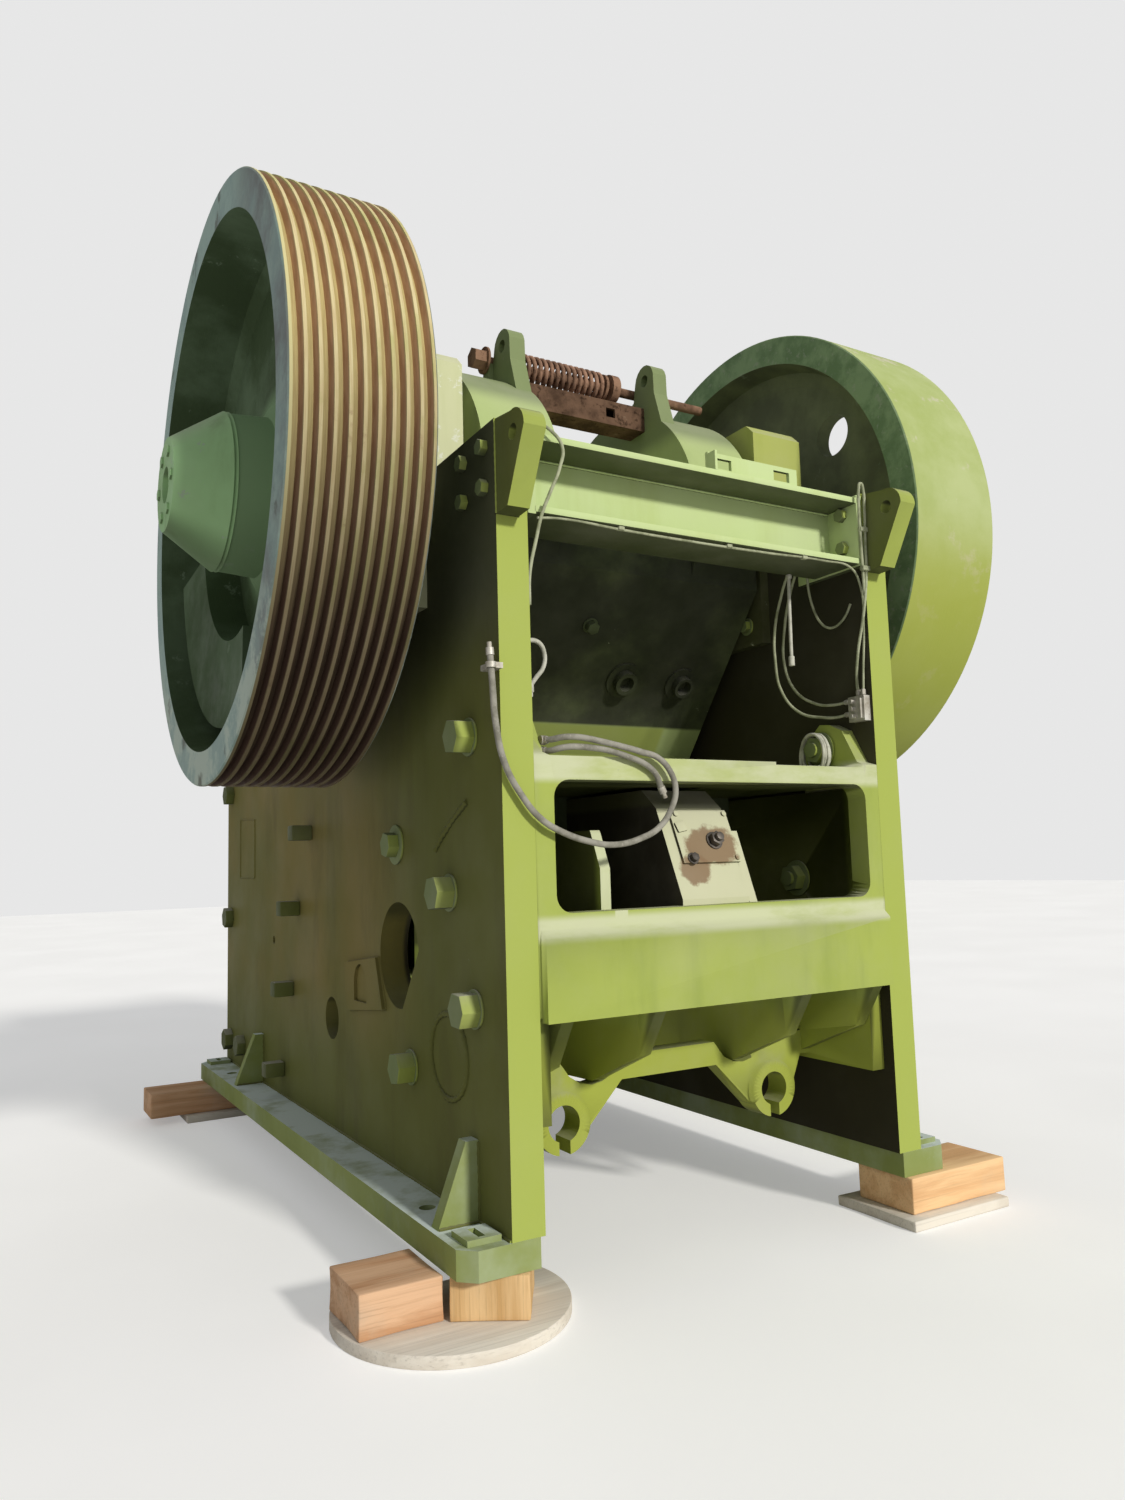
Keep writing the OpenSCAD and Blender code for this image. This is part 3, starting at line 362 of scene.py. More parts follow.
def grooved_tread(t, place, radius, large, patch, scratch):
    """Tan lands between grooves with one reddish and one olive flank, whose difference by facing stands in
    for light and shade, and painted shade towards the bottom.
    """
    land = t.mix(t.ramp(scratch, 0.36, 0.64), (0.6, 0.48, 0.26), (0.69, 0.6, 0.34))
    land = t.mix(t.ramp(large, 0.5, 0.62, b=0.6), land, (0.43, 0.44, 0.15))
    land = t.mix(t.ramp(patch, 0.6, 0.7, b=0.5), land, (0.26, 0.14, 0.08))
    land = t.mix(t.ramp(t.axis("X"), -1.16, -1.166, b=0.8), land, (0.62, 0.57, 0.29))
    flank = t.mix(t.ramp(scratch, 0.35, 0.65), (0.74, 0.47, 0.3), (0.58, 0.34, 0.21))
    floor = t.mix(t.ramp(scratch, 0.35, 0.65), (0.54, 0.45, 0.205), (0.43, 0.345, 0.155))
    # The flanks' colours by which way they face stand in for their light and shade; the reddish brown is the
    # iron's own colour
    groove = t.mix(t.facing("X", -0.6, -0.2), flank, floor)
    groove = t.mix(t.facing("X", 0.3, 0.7), groove, (0.38, 0.31, 0.15))
    tread = t.mix(t.ramp(radius, WHEEL_R - 0.0025, WHEEL_R - 0.006), land, groove)
    # Painted shade towards the bottom of the wheel
    low = t.ramp(t.axis("Z", place), 0.3, -0.62, b=0.94)
    low = t.both(low, t.ramp(radius, WHEEL_R - 0.001, WHEEL_R - 0.006, 0.85, 1.0))
    return t.mix(low, tread, (0.042, 0.026, 0.022))


def plain_tread(t, place, large, patch):
    """Green tread, pale with scuffs at the top and yellower low down."""
    tread = t.mix(t.ramp(large, 0.36, 0.66), (0.46, 0.52, 0.24), (0.37, 0.44, 0.15))
    tread = t.mix(t.ramp(patch, 0.56, 0.66, b=0.65), tread, (0.62, 0.56, 0.47))
    return t.mix(t.ramp(t.axis("Z", place), 0.05, -0.3, b=0.8), tread, (0.35, 0.385, 0.062))


def rim_paint(name, grooved):
    """Flywheel finish that follows the radius: tread, rim face, dish and cone."""
    s = settings()
    t = Tree(name)
    place = t.mapped(offset=(0.0, Y_MID - SHAFT_Y, -(SHAFT_Z + PACK_H)))
    radius = t.length(place, (0, 1, 1))
    high = t.axis("Z", place)
    rearward = t.axis("Y", place)
    outward = t.math("ABSOLUTE", t.axis("X", t.normal))
    large = t.noise(2.6, 6, 0.62)
    patch = t.noise(6.5, 8, 0.7, offset=(2.0, 1.0, 5.0))
    fine = t.noise(40.0, 5, 0.6)
    scratch = t.noise(22.0, 6, 0.6, stretch=(14.0, 0.5, 0.5))
    dish_dark = (0.062, 0.092, 0.045) if grooved else (0.12, 0.135, 0.078)
    dish_light = (0.13, 0.185, 0.11) if grooved else (0.205, 0.235, 0.12)
    cone = (0.26, 0.395, 0.21) if grooved else (0.18, 0.24, 0.13)
    t.base(t.ramp(large, 0.38, 0.66), dish_dark, dish_light)
    t.coat(t.ramp(radius, 0.36, 0.27), cone)
    scraped = t.ramp(patch, 0.62, 0.67, 0.0, 0.4 if grooved else 0.3)
    t.coat(scraped, (0.34, 0.42, 0.31))
    t.coat(t.ramp(high, -0.05, -0.3, b=0.45), (0.04, 0.062, 0.026))
    if grooved:
        face = t.mix(t.ramp(patch, 0.36, 0.6), (0.23, 0.33, 0.305), (0.36, 0.47, 0.42))
        stained = t.both(t.ramp(rearward, -0.25, -0.6), t.ramp(large, 0.4, 0.58, 0.2, 0.8))
        face = t.mix(stained, face, (0.15, 0.14, 0.145))
        bottom = t.both(t.ramp(high, -0.35, -0.6), t.ramp(patch, 0.44, 0.56, 0.15, 0.9))
        face = t.mix(bottom, face, (0.48, 0.55, 0.47))
        face = t.mix(t.ramp(t.noise(5.0, 5, 0.6, offset=(9, 9, 1)), 0.6, 0.68, b=0.7), face,
                     (0.085, 0.072, 0.056))
        tread = grooved_tread(t, place, radius, large, patch, scratch)
    else:
        face = t.mix(t.ramp(patch, 0.4, 0.6), (0.16, 0.25, 0.12), (0.255, 0.365, 0.19))
        face = t.mix(t.ramp(fine, 0.58, 0.66, b=0.5), face, (0.34, 0.38, 0.28))
        tread = plain_tread(t, place, large, patch)
    rim = t.both(t.ramp(radius, 0.758, 0.764), t.ramp(outward, 0.5, 0.8))
    t.coat(rim, face)
    across = t.math("ABSOLUTE", t.math("SUBTRACT", t.math("ABSOLUTE", t.axis("X")), WHEEL_MIDDLE))
    outer = t.both(t.ramp(radius, 0.79, 0.8), t.ramp(across, WHEEL_HALF - 0.003, WHEEL_HALF - 0.0045))
    t.coat(outer, tread)
    top = t.both(outer, t.ramp(high, 0.6, 0.86), t.ramp(fine, 0.3, 0.7, 0.1, 0.35))
    t.coat(top, tuple(s.dust))
    t.bump(t.math("ADD", t.both(patch, 0.6), t.both(scratch, 0.5)), 0.35, 0.003)
    return t.finish(t.ramp(patch, 0.35, 0.65, 0.42, 0.7))


def rusty(name, tint):
    """Brown rust with darker pits and lighter bloom."""
    s = settings()
    t = Tree(name)
    a = t.noise(9.0, 8, 0.68)
    b = t.noise(45.0, 5, 0.65, offset=(2, 7, 4))
    rust = [c * k for c, k in zip(s.rust, tint)]
    t.base(t.ramp(a, 0.36, 0.62), rust, [min(1, 2.3 * c) for c in rust])
    t.coat(t.ramp(b, 0.54, 0.68, b=0.75), [0.35 * c for c in rust])
    t.coat(t.ramp(a, 0.62, 0.74, b=0.55), (0.36, 0.27, 0.19))
    t.bump(t.math("ADD", a, t.both(b, 0.6)), 0.5, 0.002)
    return t.finish(t.ramp(b, 0.3, 0.7, 0.66, 0.92))


def bare_metal(name, base, dark, rough=0.42, metallic=0.85):
    """Machined or worn steel with stains."""
    t = Tree(name, metallic)
    a = t.noise(12.0, 6, 0.6)
    b = t.noise(90.0, 4, 0.6)
    t.base(t.ramp(a, 0.4, 0.68), base, dark)
    t.coat(t.ramp(b, 0.6, 0.72, b=0.5), (0.16, 0.09, 0.05))
    t.bump(b, 0.18, 0.001)
    return t.finish(t.ramp(a, 0.3, 0.7, rough - 0.08, rough + 0.22))


def timber(name, light, dark, along):
    """Sawn softwood: grain along one axis, dark streaks and dusty patches."""
    t = Tree(name)
    stretch = [18.0, 18.0, 18.0]
    stretch[along] = 1.4
    fibrous = tuple(9 * v if i != along else v for i, v in enumerate(stretch))
    grain = t.noise(1.0, 7, 0.62, stretch=tuple(stretch), distortion=0.7)
    fibre = t.noise(1.0, 4, 0.6, stretch=fibrous)
    blot = t.noise(3.5, 5, 0.6, offset=(5, 1, 2))
    t.base(t.ramp(grain, 0.38, 0.64), light, dark)
    t.coat(t.ramp(fibre, 0.5, 0.75, b=0.5), [0.6 * c for c in dark])
    t.coat(t.ramp(blot, 0.5, 0.72, b=0.45), (0.52, 0.46, 0.36))
    t.bump(t.math("ADD", grain, t.both(fibre, 0.7)), 0.4, 0.0025)
    return t.finish(0.82)


def hose_finish(name, base, dark):
    """Matt rubber or painted line with rubbed and dusty spots."""
    t = Tree(name)
    a = t.noise(24.0, 5, 0.6)
    b = t.noise(160.0, 3, 0.6)
    t.base(t.ramp(a, 0.4, 0.66), base, dark)
    t.coat(t.ramp(b, 0.58, 0.7, b=0.35), (0.55, 0.52, 0.44))
    t.bump(b, 0.2, 0.0006)
    return t.finish(t.ramp(a, 0.3, 0.7, 0.5, 0.75))


MATERIALS = {}

# Painted finishes: what painted is told besides the green of the settings
PAINTS = {
    "frame_paint": dict(chips=0.45, zones=(chalky_window,)),
    "green_paint": dict(chips=0.45, zones=(shaded_chamber,)),
    # Plates: the dark olive base is painted shade of the green paint; the rear edges get the lit paint
    "plate_paint": dict(base=(0.142, 0.15, 0.043), deep=(0.108, 0.112, 0.034), chips=0.15, dusty=0.3,
                        zones=(brown_stain_and_shade, sunlit_edges)),
    # Beam: deeper painted shade on its undersides
    "beam_paint": dict(base=(0.56, 0.67, 0.33), deep=(0.47, 0.56, 0.21), under=0.88),
    "housing_flaked": dict(base=(0.64, 0.655, 0.4), deep=(0.5, 0.53, 0.25), chips=2.8,
                           chip_color=(0.76, 0.77, 0.66), zones=(shaded_block,)),
    "housing_paint": dict(base=(0.44, 0.48, 0.13), deep=(0.3, 0.35, 0.08), chips=1.0,
                          chip_color=(0.62, 0.64, 0.48), zones=(shaded_block,)),
    "jaw_paint": dict(base=(0.44, 0.53, 0.225), deep=(0.3, 0.375, 0.15), chips=0.6, dusty=0.5,
                      zones=(shadowed_wall,)),
    "hub_paint": dict(base=(0.36, 0.58, 0.285), deep=(0.13, 0.19, 0.08), chips=1.8,
                      chip_color=(0.36, 0.43, 0.33)),
    "lug_paint": dict(base=(0.15, 0.17, 0.05), deep=(0.105, 0.115, 0.036), dusty=0.5,
                      zones=(sunlit_rear_shaded_front,)),
    "nut_paint": dict(base=(0.215, 0.26, 0.115), deep=(0.15, 0.18, 0.08), chips=0.6, dusty=1.2,
                      zones=(sunlit_rear_shaded_front,)),
    "cream_paint": dict(base=(0.6, 0.6, 0.41), deep=(0.46, 0.47, 0.29), chips=0.4,
                        zones=(box_shade_and_rust,)),
    "foot_paint": dict(base=(0.27, 0.315, 0.1), deep=(0.185, 0.225, 0.08), dusty=2.2, chips=0.7,
                       dust=(0.66, 0.74, 0.7)),
    "inside_paint": dict(base=(0.1, 0.125, 0.06), deep=(0.055, 0.07, 0.035), chips=0.2),
}


def paint_job(name):
    s = settings()
    job = {"base": tuple(s.paint), "deep": tuple(s.paint_shade), **PAINTS[name]}
    return painted(name, **job)


# Every other finish: its slot in the record, its maker, and what the maker is told after the name
OTHERS = {
    "grooved_rim": ("rusty_iron", rim_paint, True),
    "plain_rim": ("green_paint", rim_paint, False),
    "rust": ("rusty_steel", rusty, (0.45, 0.6, 0.75)),
    "rust_light": ("rusty_steel", rusty, (0.9, 1.2, 1.5)),
    "rust_pale": ("rusty_steel", rusty, (1.2, 1.6, 2.1)),
    "jaw_iron": ("jaw_steel", rusty, (0.75, 1.25, 1.6)),
    "dark_iron": ("rusty_steel", bare_metal, (0.12, 0.105, 0.09), (0.05, 0.042, 0.036), 0.5, 0.6),
    "machined": ("machined_steel", bare_metal, (0.55, 0.54, 0.52), (0.3, 0.27, 0.22)),
    "fitting": ("fitting_steel", bare_metal, (0.6, 0.58, 0.52), (0.33, 0.3, 0.24), 0.5, 0.7),
    "wood_salmon": ("bare_wood", timber, (0.73, 0.47, 0.29), (0.56, 0.31, 0.165), 0),
    "wood_yellow": ("bare_wood", timber, (0.76, 0.52, 0.27), (0.6, 0.37, 0.16), 2),
    "wood_peach": ("bare_wood", timber, (0.88, 0.59, 0.32), (0.74, 0.44, 0.22), 0),
    "wood_grey": ("bare_wood", timber, (0.79, 0.735, 0.64), (0.69, 0.625, 0.53), 0),
    "hose_grey": ("grey_hose", hose_finish, (0.34, 0.325, 0.275), (0.22, 0.21, 0.17)),
    "line_grey": ("line_steel", hose_finish, (0.43, 0.45, 0.3), (0.26, 0.28, 0.17)),
    "line_pale": ("line_steel", hose_finish, (0.6, 0.59, 0.5), (0.38, 0.38, 0.3)),
}


def material(name):
    """Makes a finish the first time it is asked for and hands out the same one afterwards."""
    if name in MATERIALS:
        return MATERIALS[name]
    if name in PAINTS:
        MATERIALS[name] = paint_job(name)
    else:
        maker, *told = OTHERS[name][1:]
        MATERIALS[name] = maker(name, *told)
    return MATERIALS[name]


# Finishes of the solid nodes, for both sides where no side is named; the rest are bare fittings
NODE_FINISH = {
    "side_plate": "plate_paint", "foot_rail": "foot_paint", "cheek_plate": "jaw_iron",
    "lifting_lug": "lug_paint", "hub": "hub_paint",
    "front_frame": "green_paint", "front_ribs": "green_paint", "front_shelves": "green_paint",
    "fixed_jaw_die": "jaw_iron", "swing_jaw_die": "jaw_iron", "beam_bracket": "beam_paint",
    "bearing_housing_left": "housing_flaked", "bearing_housing_right": "housing_paint",
    "adjuster": "cream_paint", "toggle_beam": "inside_paint",
    "eccentric_shaft": "machined", "flywheel_grooved": "grooved_rim", "flywheel_plain": "plain_rim",
    "pitman": "jaw_paint", "stored_rod": "rust_light", "neck_tube": "rust",
}


# Modelling helpers


def clear_selection():
    if bpy.context.object and bpy.context.object.mode != "OBJECT":
        bpy.ops.object.mode_set(mode="OBJECT")
    bpy.ops.object.select_all(action="DESELECT")


def pick(obj):
    """Makes one object the only selected and active one."""
    clear_selection()
    obj.select_set(True)
    bpy.context.view_layer.objects.active = obj
    return obj


def settle(obj):
    """Puts the object's place into its mesh."""
    pick(obj)
    bpy.ops.object.transform_apply(location=True, rotation=True, scale=True)
    return obj


def apply_modifiers(obj):
    pick(obj)
    for m in list(obj.modifiers):
        bpy.ops.object.modifier_apply(modifier=m.name)
    return obj


def edit_whole(obj, change):
    """Calls one change in edit mode with the object's whole mesh selected."""
    pick(obj)
    bpy.ops.object.mode_set(mode="EDIT")
    bpy.ops.mesh.select_all(action="SELECT")
    change()
    bpy.ops.object.mode_set(mode="OBJECT")


def bevel(obj, width, angle=35):
    m = obj.modifiers.new("edge", "BEVEL")
    m.width = width
    m.segments = 2
    m.limit_method = "ANGLE"
    m.angle_limit = math.radians(angle)
    return apply_modifiers(obj)


def smooth(obj, angle=35):
    pick(obj)
    bpy.ops.object.shade_smooth_by_angle(angle=math.radians(angle))
    return obj


def block(lo, hi, width):
    """A bevelled block between two drawing corners in millimetres."""
    clear_selection()
    a, b = row(*lo), row(*hi)
    bpy.ops.mesh.primitive_cube_add(size=1, location=(a + b) / 2)
    obj = bpy.context.object
    obj.scale = b - a
    settle(obj)
    if width:
        bevel(obj, width)
    return obj


def on_side(side, lo, hi):
    """Two corners whose first number is a distance from the centre plane, put on one side of it."""
    near, far = sorted((side * lo[0], side * hi[0]))
    return (near, *lo[1:]), (far, *hi[1:])


def disc(centre, radius, depth, axis="X", sides=32, width=0.002, turn=0.0):
    """A chamfered round or many-sided piece about a drawing point in millimetres."""
    clear_selection()
    lay = {"X": (0, math.pi / 2, 0), "Y": (math.pi / 2, 0, 0), "Z": (0, 0, 0)}[axis]
    bpy.ops.mesh.primitive_cylinder_add(vertices=sides, radius=radius / 1000, depth=depth / 1000)
    obj = bpy.context.object
    obj.data.transform(Matrix.Rotation(turn, 4, "Z"))
    obj.rotation_euler = lay
    obj.location = row(*centre)
    settle(obj)
    if width:
        bevel(obj, width, 50)
    return obj


def stack(sizes):
    """Chamfered rounds on each other at the origin: (sides, radius, lower end, upper end) in metres."""
    parts = []
    for sides, radius, low, high in sizes:
        clear_selection()
        bpy.ops.mesh.primitive_cylinder_add(vertices=sides, radius=radius, depth=high - low,
                                            location=(0, 0, (low + high) / 2))
        parts.append(bevel(settle(bpy.context.object), 0.001, 50))
    return parts


def joined(name, parts):
    clear_selection()
    for p in parts:
        p.select_set(True)
    bpy.context.view_layer.objects.active = parts[0]
    bpy.ops.object.join()
    obj = bpy.context.object
    obj.name = name
    return obj


def dress(obj, finish, body="frame"):
    """Gives a new piece its finish and the body it moves with."""
    obj.data.materials.clear()
    obj.data.materials.append(material(finish))
    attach(obj, body)
    return obj


def line_curve(name, points, radius, kind="BEZIER", cyclic=False):
    """A round line through drawing points in millimetres, as one spline."""
    curve = bpy.data.curves.new(name, "CURVE")
    curve.dimensions = "3D"
    curve.bevel_depth = radius / 1000
    curve.bevel_resolution = 3
    curve.resolution_u = 8 if kind == "BEZIER" else 1
    curve.use_fill_caps = True
    spline = curve.splines.new(kind)
    if kind == "BEZIER":
        spline.bezier_points.add(len(points) - 1)
        for knot, place in zip(spline.bezier_points, points):
            knot.co = row(*place)
            knot.handle_left_type = knot.handle_right_type = "AUTO"
    else:
        spline.points.add(len(points) - 1)
        for knot, place in zip(spline.points, points):
            knot.co = (*row(*place), 1)
    spline.use_cyclic_u = cyclic
    obj = bpy.data.objects.new(name, curve)
    bpy.context.scene.collection.objects.link(obj)
    return obj


def meshed(obj):
    """Turns a curve into a mesh of its own."""
    pick(obj)
    bpy.ops.object.convert(target="MESH")
    return bpy.context.object


# Camera and stage

# Camera in drawing millimetres, degrees and lens millimetres, and the lights' directions and strengths
CAMERA_AT = (-1792, -2226, 925)
CAMERA_TURN = 30.1632
CAMERA_PITCH = 6.1029
CAMERA_ROLL = -1.6442
CAMERA_LENS = 25.23
SUN_FROM = (0.17, -0.89, 0.42)
SUN_STRENGTH = 2.6
SKY_STRENGTH = 0.38
FLOOR_GLOW = 0.3


class CRUSHER_OT_stage(bpy.types.Operator):
    """Add the camera at the photograph's angle, the pale floor and the soft lights"""

    bl_idname = "crusher.stage"
    bl_label = "Camera and stage"

    def execute(self, context):
        a, b, r = (math.radians(v) for v in (CAMERA_TURN, CAMERA_PITCH, CAMERA_ROLL))
        ahead = Vector((math.sin(a) * math.cos(b), math.cos(a) * math.cos(b), math.sin(b)))
        right = Vector((math.cos(a), -math.sin(a), 0))
        up = right.cross(ahead)
        right, up = (right * math.cos(r) + up * math.sin(r), up * math.cos(r) - right * math.sin(r))
        data = bpy.data.cameras.new("camera")
        data.lens = CAMERA_LENS
        data.sensor_width = 36
        data.sensor_fit = "AUTO"
        data.clip_end = 200
        cam = bpy.data.objects.new("camera", data)
        turn = Matrix((right, up, -ahead)).transposed().to_4x4()
        cam.matrix_world = Matrix.Translation(row(*CAMERA_AT)) @ turn
        context.scene.collection.objects.link(cam)
        context.scene.camera = cam
        self.floor()
        self.lights(context)
        context.scene.view_settings.view_transform = "Standard"
        return {"FINISHED"}

    def seen(self, nt):
        """1 where the camera, a reflection or a view through glass looks, and 0 for the light itself."""
        path = add_node(nt, "LightPath")
        seen = path.outputs["Is Camera Ray"]
        for name in ("Is Glossy Ray", "Is Transmission Ray"):
            most = add_node(nt, "Math")
            most.operation = "MAXIMUM"
            nt.links.new(seen, most.inputs[0])
            nt.links.new(path.outputs[name], most.inputs[1])
            seen = most.outputs[0]
        return seen

    def floor(self):
        clear_selection()
        bpy.ops.mesh.primitive_plane_add(size=60, location=(0, 0, 0))
        floor = bpy.context.object
        floor.name = "floor"
        t = Tree("floor_finish")
        t.base(t.ramp(t.noise(0.7, 4), 0.35, 0.7), (0.78, 0.77, 0.75), (0.83, 0.82, 0.8))
        t.finish(0.85)
        t.bsdf.inputs["Emission Color"].default_value = (1, 1, 1, 1)
        t.set(t.bsdf.inputs["Emission Strength"], t.math("MULTIPLY", self.seen(t.nt), FLOOR_GLOW))
        floor.data.materials.append(t.mat)

    def lights(self, context):
        sun = bpy.data.lights.new("key", "SUN")
        sun.energy = SUN_STRENGTH
        sun.angle = math.radians(6)
        sun.color = (1.0, 0.98, 0.93)
        key = bpy.data.objects.new("key", sun)
        key.rotation_euler = (-Vector(SUN_FROM)).to_track_quat("-Z", "Y").to_euler()
        context.scene.collection.objects.link(key)
        world = bpy.data.worlds.new("soft_sky")
        world.use_nodes = True
        nt = world.node_tree
        nt.nodes.clear()
        both = add_node(nt, "MixShader")
        soft = add_node(nt, "Background", Color=(0.95, 0.97, 1.0, 1), Strength=SKY_STRENGTH)
        white = add_node(nt, "Background", Strength=1.0)
        for i, source in enumerate((self.seen(nt), soft.outputs[0], white.outputs[0])):
            nt.links.new(source, both.inputs[i])
        nt.links.new(both.outputs[0], add_node(nt, "OutputWorld").inputs[0])
        context.scene.world = world


# Hoses and lines

# Middle lines in drawing millimetres, and for the thin lines the radius before them
HOSE_LOOP = [
    (-521, 34, 1229), (-513, 20, 1229), (-500, 4, 1232), (-480, -8, 1233), (-450, -16, 1231),
    (-400, -20, 1223), (-340, -22, 1212), (-281, -22, 1200), (-225, -22, 1184), (-188, -22, 1146),
    (-176, -22, 1103), (-188, -22, 1062), (-230, -24, 1010), (-292, -26, 980), (-372, -26, 965),
    (-440, -26, 973), (-523, -26, 999), (-577, -24, 1030), (-628, -22, 1088), (-668, -20, 1160),
    (-690, -18, 1264), (-694, -16, 1340), (-698, -14, 1420)]
HOSE_SHORT = [
    (-521, 42, 1202), (-513, 28, 1202), (-500, 12, 1206), (-480, 0, 1209), (-450, -7, 1209),
    (-420, -11, 1207), (-390, -14, 1204), (-355, -15, 1197), (-320, -15, 1188), (-262, -15, 1168),
    (-232, -14, 1145), (-216, -13, 1112)]
LINES = {
    "line_left": (4.5, [
        (-560, -20, 2022), (-520, -26, 2004), (-489, -26, 1968), (-498, -26, 1912), (-528, -26, 1842),
        (-549, -22, 1790), (-563, -10, 1720), (-574, 6, 1640), (-575, 10, 1560)]),
    "line_beam": (3.5, [
        (-548, 10, 1786), (-480, 6, 1792.2), (-300, 6, 1788), (-60, 6, 1786), (200, 6, 1788),
        (420, 6, 1792.2), (530, 6, 1782), (562, 8, 1744), (571, 10, 1600), (568, 18, 1480),
        (566, 22, 1399)]),
    "line_right": (4.5, [
        (566, -6, 1700), (556, -14, 1860), (549, -20, 1960), (551, -22, 2020), (560, -22, 2042),
        (570, -22, 2020), (572, -20, 1960), (572, -16, 1860), (572, -12, 1760), (559, -4, 1640),
        (558, 28, 1520), (565, 44, 1440), (569, 44, 1399)]),
    "line_loop_a": (4.0, [
        (575.7, 62, 1690), (572, 76, 1662), (566, 96, 1639), (559, 119, 1627), (552, 143, 1631),
        (546, 163, 1650), (541, 177, 1678), (536, 186, 1712), (532, 192, 1750), (530, 194.5, 1800),
        (530, 194.3, 1900)]),
    "line_loop_b": (4.5, [
        (500, 194.8, 1960), (500, 194.8, 1860), (502, 245, 1760), (506, 285, 1650), (512, 300, 1540),
        (524, 270, 1450), (540, 200, 1398), (550, 130, 1384), (560, 92, 1386), (560, 74.3, 1386)]),
    "line_loop_c": (4.5, [
        (470, 194.8, 1960), (470, 194.8, 1860), (471, 248, 1760), (472, 292, 1650), (474, 300, 1550),
        (484, 290, 1450), (506, 240, 1376), (530, 160, 1348), (548, 110, 1344), (560, 90, 1348),
        (560, 74.3, 1348)]),
}
LINE_NUTS = [((566, 22, 1409), "Z"), ((569, 44, 1409), "Z"), ((560, 84, 1386), "Y"), ((560, 84, 1348), "Y")]


class CRUSHER_OT_hoses(bpy.types.Operator):
    """Lay the two grease hoses that loop out of the rear window"""

    bl_idname = "crusher.hoses"
    bl_label = "Grease hoses"

    def execute(self, context):
        wide = settings().hose_diameter
        for name, route, end in (("hose_loop", HOSE_LOOP, "object"), ("hose_short", HOSE_SHORT, "fitting")):
            hose = line_curve(name + "_smooth", route, wide * 500)
            hose.data.resolution_u = 12
            dress(hose, "hose_grey")
            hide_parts(name)
        return {"FINISHED"}


class CRUSHER_OT_lines(bpy.types.Operator):
    """Run the thin grease lines along the beam and down the right post, with their end nuts"""

    bl_idname = "crusher.lines"
    bl_label = "Grease lines"

    def execute(self, context):
        for name, (radius, route) in LINES.items():
            line = dress(line_curve(name + "_smooth", route, radius), "line_grey")
            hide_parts(name)
        nuts = []
        for place, axis in LINE_NUTS:
            nuts += [disc(place, 8.5, 16, axis, 6, 0.001), disc(place, 6.5, 19, axis, 20, 0.0008)]
        dress(joined("line_nuts", nuts), "fitting")
        clips = []
        for x, z in ((-300, 1790.5), (60, 1789.2), (340, 1791)):
            clips.append(block((x - 9, -2, z - 5), (x + 9, 13, z + 5), 0.002))
        for z in (1900, 1780):
            clips.append(block((550, -24, z - 7), (PLATE_IN, -8, z + 7), 0.002))
        dress(joined("line_clips", clips), "line_grey")
        self.bundle()
        self.hanging_pipe()
        self.curled_end()
        return {"FINISHED"}

    def bundle(self):
        """Spare pale line wound over the inner end of the upper bolt on the right."""
        y, z = FRAME_BOLTS[0]
        turns = []
        for i, (x, wide, high) in enumerate(((519, 52, 58), (510, 55, 63), (501, 51, 60), (492, 54, 66))):
            loop = []
            for k in range(12):
                a = math.radians(30 * k)
                sag = 4 * math.sin(2 * a + i)
                loop.append((x + 3 * math.sin(a + 2 * i), y + (wide + sag) * math.sin(a),
                             z + 49 - high + high * math.cos(a)))
            turns.append(meshed(line_curve("turn", loop, 4.5, cyclic=True)))
        for x, y_end in ((514, -30), (497, -24)):
            tail = [(x, y + y_end, z - 50), (x - 4, y + y_end - 6, z - 82), (x - 2, y + y_end - 18, z - 108)]
            turns.append(meshed(line_curve("tail", tail, 4.5)))
        dress(smooth(joined("line_bundle", turns), 60), "line_pale")

    def hanging_pipe(self):
        """Pale pipe end that hangs behind the beam's lower flange, with its collar."""
        pipe = [(440, 181, 1800), (440, 182, 1770), (437, 181, 1720), (434, 180, 1610), (431, 178, 1515)]
        parts = [meshed(line_curve("pipe", pipe, 5.5)), disc((431, 178, 1522), 9, 30, "Z", 28, 0.0015),
                 disc((440, 181, 1790), 10, 12, "Z", 6, 0.0015)]
        dress(smooth(joined("pipe_end", parts), 40), "line_pale")

    def curled_end(self):
        """Curled hose end with its fittings, inside the left post."""
        curl = [(-580, 70, 1474), (-552, 66, 1484), (-522, 64, 1480), (-504, 68, 1452), (-506, 74, 1418),
                (-524, 80, 1392), (-538, 84, 1372)]
        parts = [meshed(line_curve("curl", curl, 6)), disc((-574, 69.5, 1476), 11, 14, "X", 6, 0.001),
                 disc((-538, 84, 1366), 9, 22, "Z", 6, 0.001), disc((-538, 84, 1352), 6, 18, "Z", 20, 0.001)]
        dress(smooth(joined("hose_curl", parts), 40), "line_pale")


# Finishes of the solid nodes


class CRUSHER_OT_finishes(bpy.types.Operator):
    """Paint, rust and dust on every solid node of the frame"""

    bl_idname = "crusher.finishes"
    bl_label = "Finishes"

    def execute(self, context):
        for name, node in NODES.items():
            node.data.materials.clear()
            either = name.removesuffix("_left").removesuffix("_right")
            finish = NODE_FINISH.get(name) or NODE_FINISH.get(either, "fitting")
            node.data.materials.append(material(finish))
        return {"FINISHED"}


# Window frame and beam as the photograph shows them

# Box round a sill rib in drawing millimetres, and for each side the height from which the rib is cut away
RIB_IN = 325.2
RIB_OUT = 356.8
RIB_REAR = 70.05
RIB_TOP = 1129.95
RIB_CUTS = ((1, 620.05), (-1, 1006))

# Beam's half length, the undersides of its flanges, its web's rear face and their common thickness
BEAM_HALF = 562
FLANGE_LOWS = (1985, 1796)
WEB_REAR = 118
BEAM_SHEET = 18


